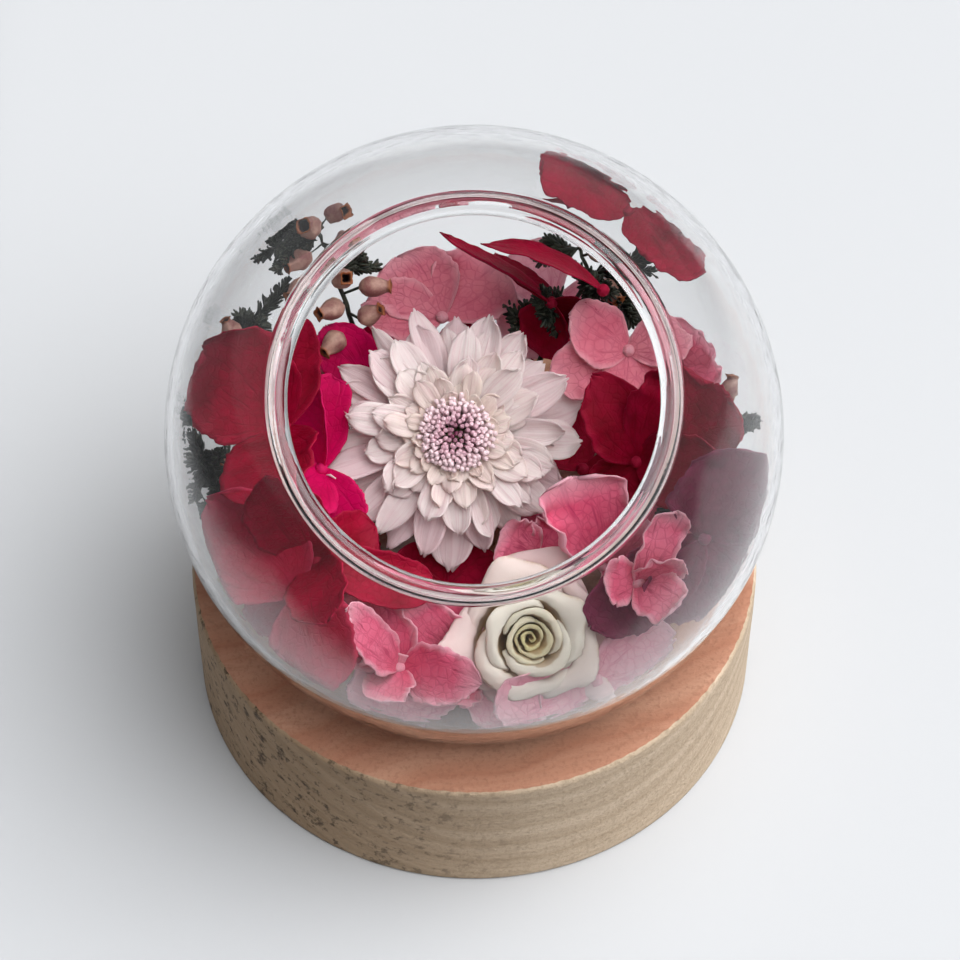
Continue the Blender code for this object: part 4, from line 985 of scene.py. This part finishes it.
# The heather
# Four dried heather sprigs: thin bent twigs with urn-shaped bells on short stalks, brown and pink
# with dark mouths, their insides painted near black as shade, and short tufts of dark needle leaves.
BELL_LENGTH = 5.2 * MM
BELL_RADIUS = 1.95 * MM
BELL_SIDES = 16
# Along a bell's outline: its place from stalk to lip, and beyond 1 back down inside.
BELL_DEPTH = np.array([0, 0, 0.08, 0.2, 0.34, 0.52, 0.7, 0.84, 0.92, 1.0, 1.03, 1.2, 1.3, 1.3, 1.3])
# A sprig: its twig's path, its bells, its leafy tufts' tips and the tufts' radius, as places.
SPRIGS = {
    "heather_upper_left": (
        ((-17.8, 2.6, -29.0), (-18.5, 13.2, -23.0), (-20.9, 21.2, -16.0), (-24.0, 29.7, -12.0),
         (-25.8, 34.0, -10.0)),
        ((-22.6, 37.0, -8.0), (-27.0, 34.2, -4.0), (-20.8, 32.0, -7.0), (-29.0, 28.8, -8.0),
         (-28.8, 24.2, -9.0), (-16.4, 24.8, -13.0), (-21.5, 26.0, -10.0), (-17.0, 20.4, -15.0),
         (-23.8, 21.0, -14.0), (-23.6, 15.4, -16.0), (-22.7, 11.1, -19.0)),
        ((-29.0, 35.0, -9.0), (-30.5, 31.8, -9.0), (-20.0, 28.6, -15.0)),
        1.6),
    "heather_upper_right": (
        ((9.5, 8.0, -24.0), (11.2, 13.4, -23.0), (15.4, 19.8, -20.0), (19.3, 26.7, -17.0),
         (17.6, 31.4, -15.0)),
        ((21.5, 30.5, -14.0), (22.5, 24.0, -15.0)),
        ((14.0, 30.0, -15.0), (26.5, 28.6, -15.0), (26.5, 21.5, -16.0), (8.5, 18.6, -21.0),
         (21.0, 24.5, -12.0), (13.0, 21.5, -14.0)),
        2.0),
    "heather_left": (
        ((-37.0, -14.0, -13.0), (-40.5, -7.0, -13.0), (-42.0, 1.0, -13.0), (-41.5, 9.0, -12.0),
         (-39.5, 16.5, -12.0)),
        ((-40.5, 18.0, -8.0), (-42.0, 7.0, -9.0), (-42.0, -5.0, -9.0)),
        ((-36.5, 19.5, -13.0), (-45.5, 5.0, -4.0), (-45.5, -4.0, -2.0), (-43.0, -12.0, -1.0),
         (-39.5, -17.0, -3.0), (-39.0, 3.0, -17.0)),
        2.0),
    "heather_right": (
        ((36.0, -9.0, -10.0), (39.5, -4.0, -10.0), (42.0, 1.0, -10.0), (42.8, 5.0, -9.0)),
        ((42.5, 8.0, -9.0), (40.0, 2.5, -7.0)),
        ((44.0, 2.0, -7.0), (33.0, -12.0, -7.0)),
        1.5),
}


def nearest_on(path, place):
    """The point of a twig's path nearest to a place."""
    start, along = path[:-1], np.diff(path, axis=0)
    share = np.clip(((place - start) * along).sum(axis=1) / (along ** 2).sum(axis=1), 0, 1)[:, None]
    spots = start + along * share
    return spots[np.linalg.norm(spots - place, axis=1).argmin()]


def urn(base, along, length, radius, rng):
    """A heather bell: circles along its axis, widest below the middle and pinched at the neck.

    Furrows, a cosine of four turns, grow into lobes at the flared lip. An inner wall goes back down.
    """
    profile = np.array([
        (0.0, 0.02), (0.0, 0.28), (0.08, 0.62), (0.20, 0.90), (0.34, 1.0), (0.52, 0.95), (0.70, 0.76),
        (0.84, 0.55), (0.92, 0.50), (1.0, 0.66), (0.98, 0.50), (0.88, 0.36), (0.7, 0.42), (0.5, 0.5),
        (0.4, 0.02)])
    turn = np.linspace(0, 2 * math.pi, BELL_SIDES, endpoint=False)
    first = np.cross(along, np.array([0.31, 0.77, 0.56]))
    first /= np.linalg.norm(first)
    second = np.cross(along, first)
    furrows = np.cos(4 * turn + rng.uniform(0, 6))[None]
    lobes = 1 + furrows * (0.05 + 0.16 * profile[:, :1] ** 6)
    lobes = lobes + rng.normal(0, 0.02, (len(profile), BELL_SIDES))
    circle = first * np.cos(turn)[:, None] + second * np.sin(turn)[:, None]
    return (
        base
        + along * (profile[:, 0] * length)[:, None, None]
        + circle[None] * (profile[:, 1:] * radius * lobes)[..., None]
    )


def needle_tuft(root, tip, radius, rng, count=40):
    """A short leafy shoot: a thin axis and flat-sided needles that lean forwards off it all round."""
    along = tip - root
    length = np.linalg.norm(along)
    along = along / length
    share = np.linspace(0.12, 1.0, count)
    turn = np.arange(count) * 2.4 + rng.uniform(-0.3, 0.3, count)
    first = np.cross(along, np.array([0.31, 0.77, 0.56]))
    first /= np.linalg.norm(first)
    second = np.cross(along, first)
    off = first * np.cos(turn)[:, None] + second * np.sin(turn)[:, None]
    base = root + along * (share * (length - 0.8 * MM))[:, None]
    lean = along * 0.75 + off * rng.uniform(0.45, 0.8, count)[:, None]
    lean /= np.linalg.norm(lean, axis=1, keepdims=True)
    size = radius * rng.uniform(1.0, 1.7, count) * (1.15 - 0.45 * share)
    s = np.array([0.0, 0.05, 0.5, 0.9, 1.0])
    wide = np.array([0.02, 0.8, 1.0, 0.75, 0.02]) * 0.27 * MM
    side = np.cross(lean, off)
    side /= np.linalg.norm(side, axis=1, keepdims=True)
    upper = np.cross(side, lean)
    turns = np.linspace(0, 2 * math.pi, 5, endpoint=False)
    circle = upper[:, None] * np.cos(turns)[:, None] + side[:, None] * np.sin(turns)[:, None] * 1.3
    axis = (lean * size[:, None])[:, None, None] * s[None, :, None, None]
    return base[:, None, None] + axis + circle[:, None] * wide[None, :, None, None]


def rings_batch(batches):
    """Joins groups of closed rings (count, rings, sides, 3) into one array of points and one of faces."""
    points, faces, start = [], [], 0
    for group in batches:
        count, rings, sides = group.shape[:3]
        one = lathe_faces(rings, sides)[:, ::-1]
        faces.append((one[None] + start + (np.arange(count) * rings * sides)[:, None, None]).reshape(-1, 4))
        points.append(group.reshape(-1, 3))
        start += count * rings * sides
    return np.concatenate(points), np.concatenate(faces)


bell_look, bell_tree, bell_shader = plain_material("heather_bell", (0.45, 0.26, 0.20), 0.6)
bell_place = node(bell_tree, "ShaderNodeTexCoord").outputs["Object"]
bell_depth = node(bell_tree, "ShaderNodeAttribute", attribute_name="tint").outputs["Fac"]
bell_cloud = linked_range(bell_tree, linked_noise(bell_tree, bell_place, 330.0, 4.0), 0.38, 0.62)
bell_lip = linked_range(bell_tree, bell_depth, 0.86, 0.97)
bell_mouth_painted_shade = linked_range(bell_tree, bell_depth, 1.05, 1.2)
bell_tone = linked_mix(bell_tree, bell_cloud, (0.28, 0.10, 0.09), (0.56, 0.34, 0.26))
bell_tone = linked_mix(bell_tree, bell_lip, bell_tone, (0.34, 0.10, 0.03))
# painted shade: the inner wall, back down inside the bell's mouth, is made near black
bell_tone = linked_mix(bell_tree, bell_mouth_painted_shade, bell_tone, (0.03, 0.012, 0.012))
bell_tree.links.new(bell_tone, bell_shader.inputs["Base Color"])
needle_look, needle_tree, needle_shader = plain_material("heather_leaf", (0.02, 0.025, 0.015), 0.6)
needle_place = node(needle_tree, "ShaderNodeTexCoord").outputs["Object"]
needle_cloud = linked_range(needle_tree, linked_noise(needle_tree, needle_place, 500.0), 0.4, 0.65)
needle_tone = linked_mix(needle_tree, needle_cloud, (0.010, 0.014, 0.008), (0.045, 0.050, 0.030))
needle_tree.links.new(needle_tone, needle_shader.inputs["Base Color"])

for number, (sprig, (twig, bells, tufts, tuft_radius)) in enumerate(SPRIGS.items()):
    rng = np.random.default_rng(400 + number)
    path = held_in_globe(slope_point(twig), 0.8 * MM)
    share = np.linspace(0, len(path) - 1, 24)
    corners = np.arange(len(path))
    fine_path = np.stack([np.interp(share, corners, path[:, axis]) for axis in range(3)], axis=-1)
    fine_path = fine_path + rng.normal(0, 0.08, fine_path.shape) * MM
    wood = [rod_rings(fine_path, np.linspace(0.55, 0.30, 24) * MM, 7)[None]]
    bell_rings, needles = [], []
    for place in bells:
        middle = held_in_globe(slope_point(place), 3.0 * MM)
        root = nearest_on(path, middle)
        along = (middle - root) / np.linalg.norm(middle - root)
        along = along + rng.normal(0, 0.22, 3)
        along /= np.linalg.norm(along)
        base = middle - along * BELL_LENGTH / 2
        wood.append(rod_rings(np.linspace(root, base + along * 0.3 * MM, 5), np.full(5, 0.24 * MM), 6)[None])
        length = BELL_LENGTH * rng.uniform(0.85, 1.05)
        radius = BELL_RADIUS * rng.uniform(0.85, 1.02)
        bell_rings.append(urn(base, along, length, radius, rng))
    for place in tufts:
        tip = held_in_globe(slope_point(place), 1.2 * MM)
        root = nearest_on(path, tip)
        shoots = [(root, tip)]
        for fork in rng.uniform(0.25, 1.0, 6):
            start = root + (tip - root) * fork
            heading = (tip - root) / np.linalg.norm(tip - root) + rng.normal(0, 0.75, 3)
            end = start + heading * rng.uniform(2.2, 4.0) * MM
            shoots.append((start, held_in_globe(end, 1.2 * MM)))
        for start, end in shoots:
            wood.append(rod_rings(np.linspace(start, end, 6), np.linspace(0.3, 0.12, 6) * MM, 6)[None])
            needles.append(needle_tuft(start, end, tuft_radius * MM, rng))
    plain = np.zeros(1)
    for part, groups, look, shade in (
        ("twigs", wood, needle_look, plain),
        ("leaves", needles, needle_look, plain),
        ("bells", [np.stack(bell_rings)], bell_look, np.repeat(BELL_DEPTH, BELL_SIDES)),
    ):
        points, faces = rings_batch(groups)
        tint = np.tile(shade, len(points) // len(shade))
        piece = mesh_piece(sprig + "_" + part, points + GLOBE_CENTRE, faces, [look], tint=tint)
        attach(piece, "root")
        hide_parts(sprig)
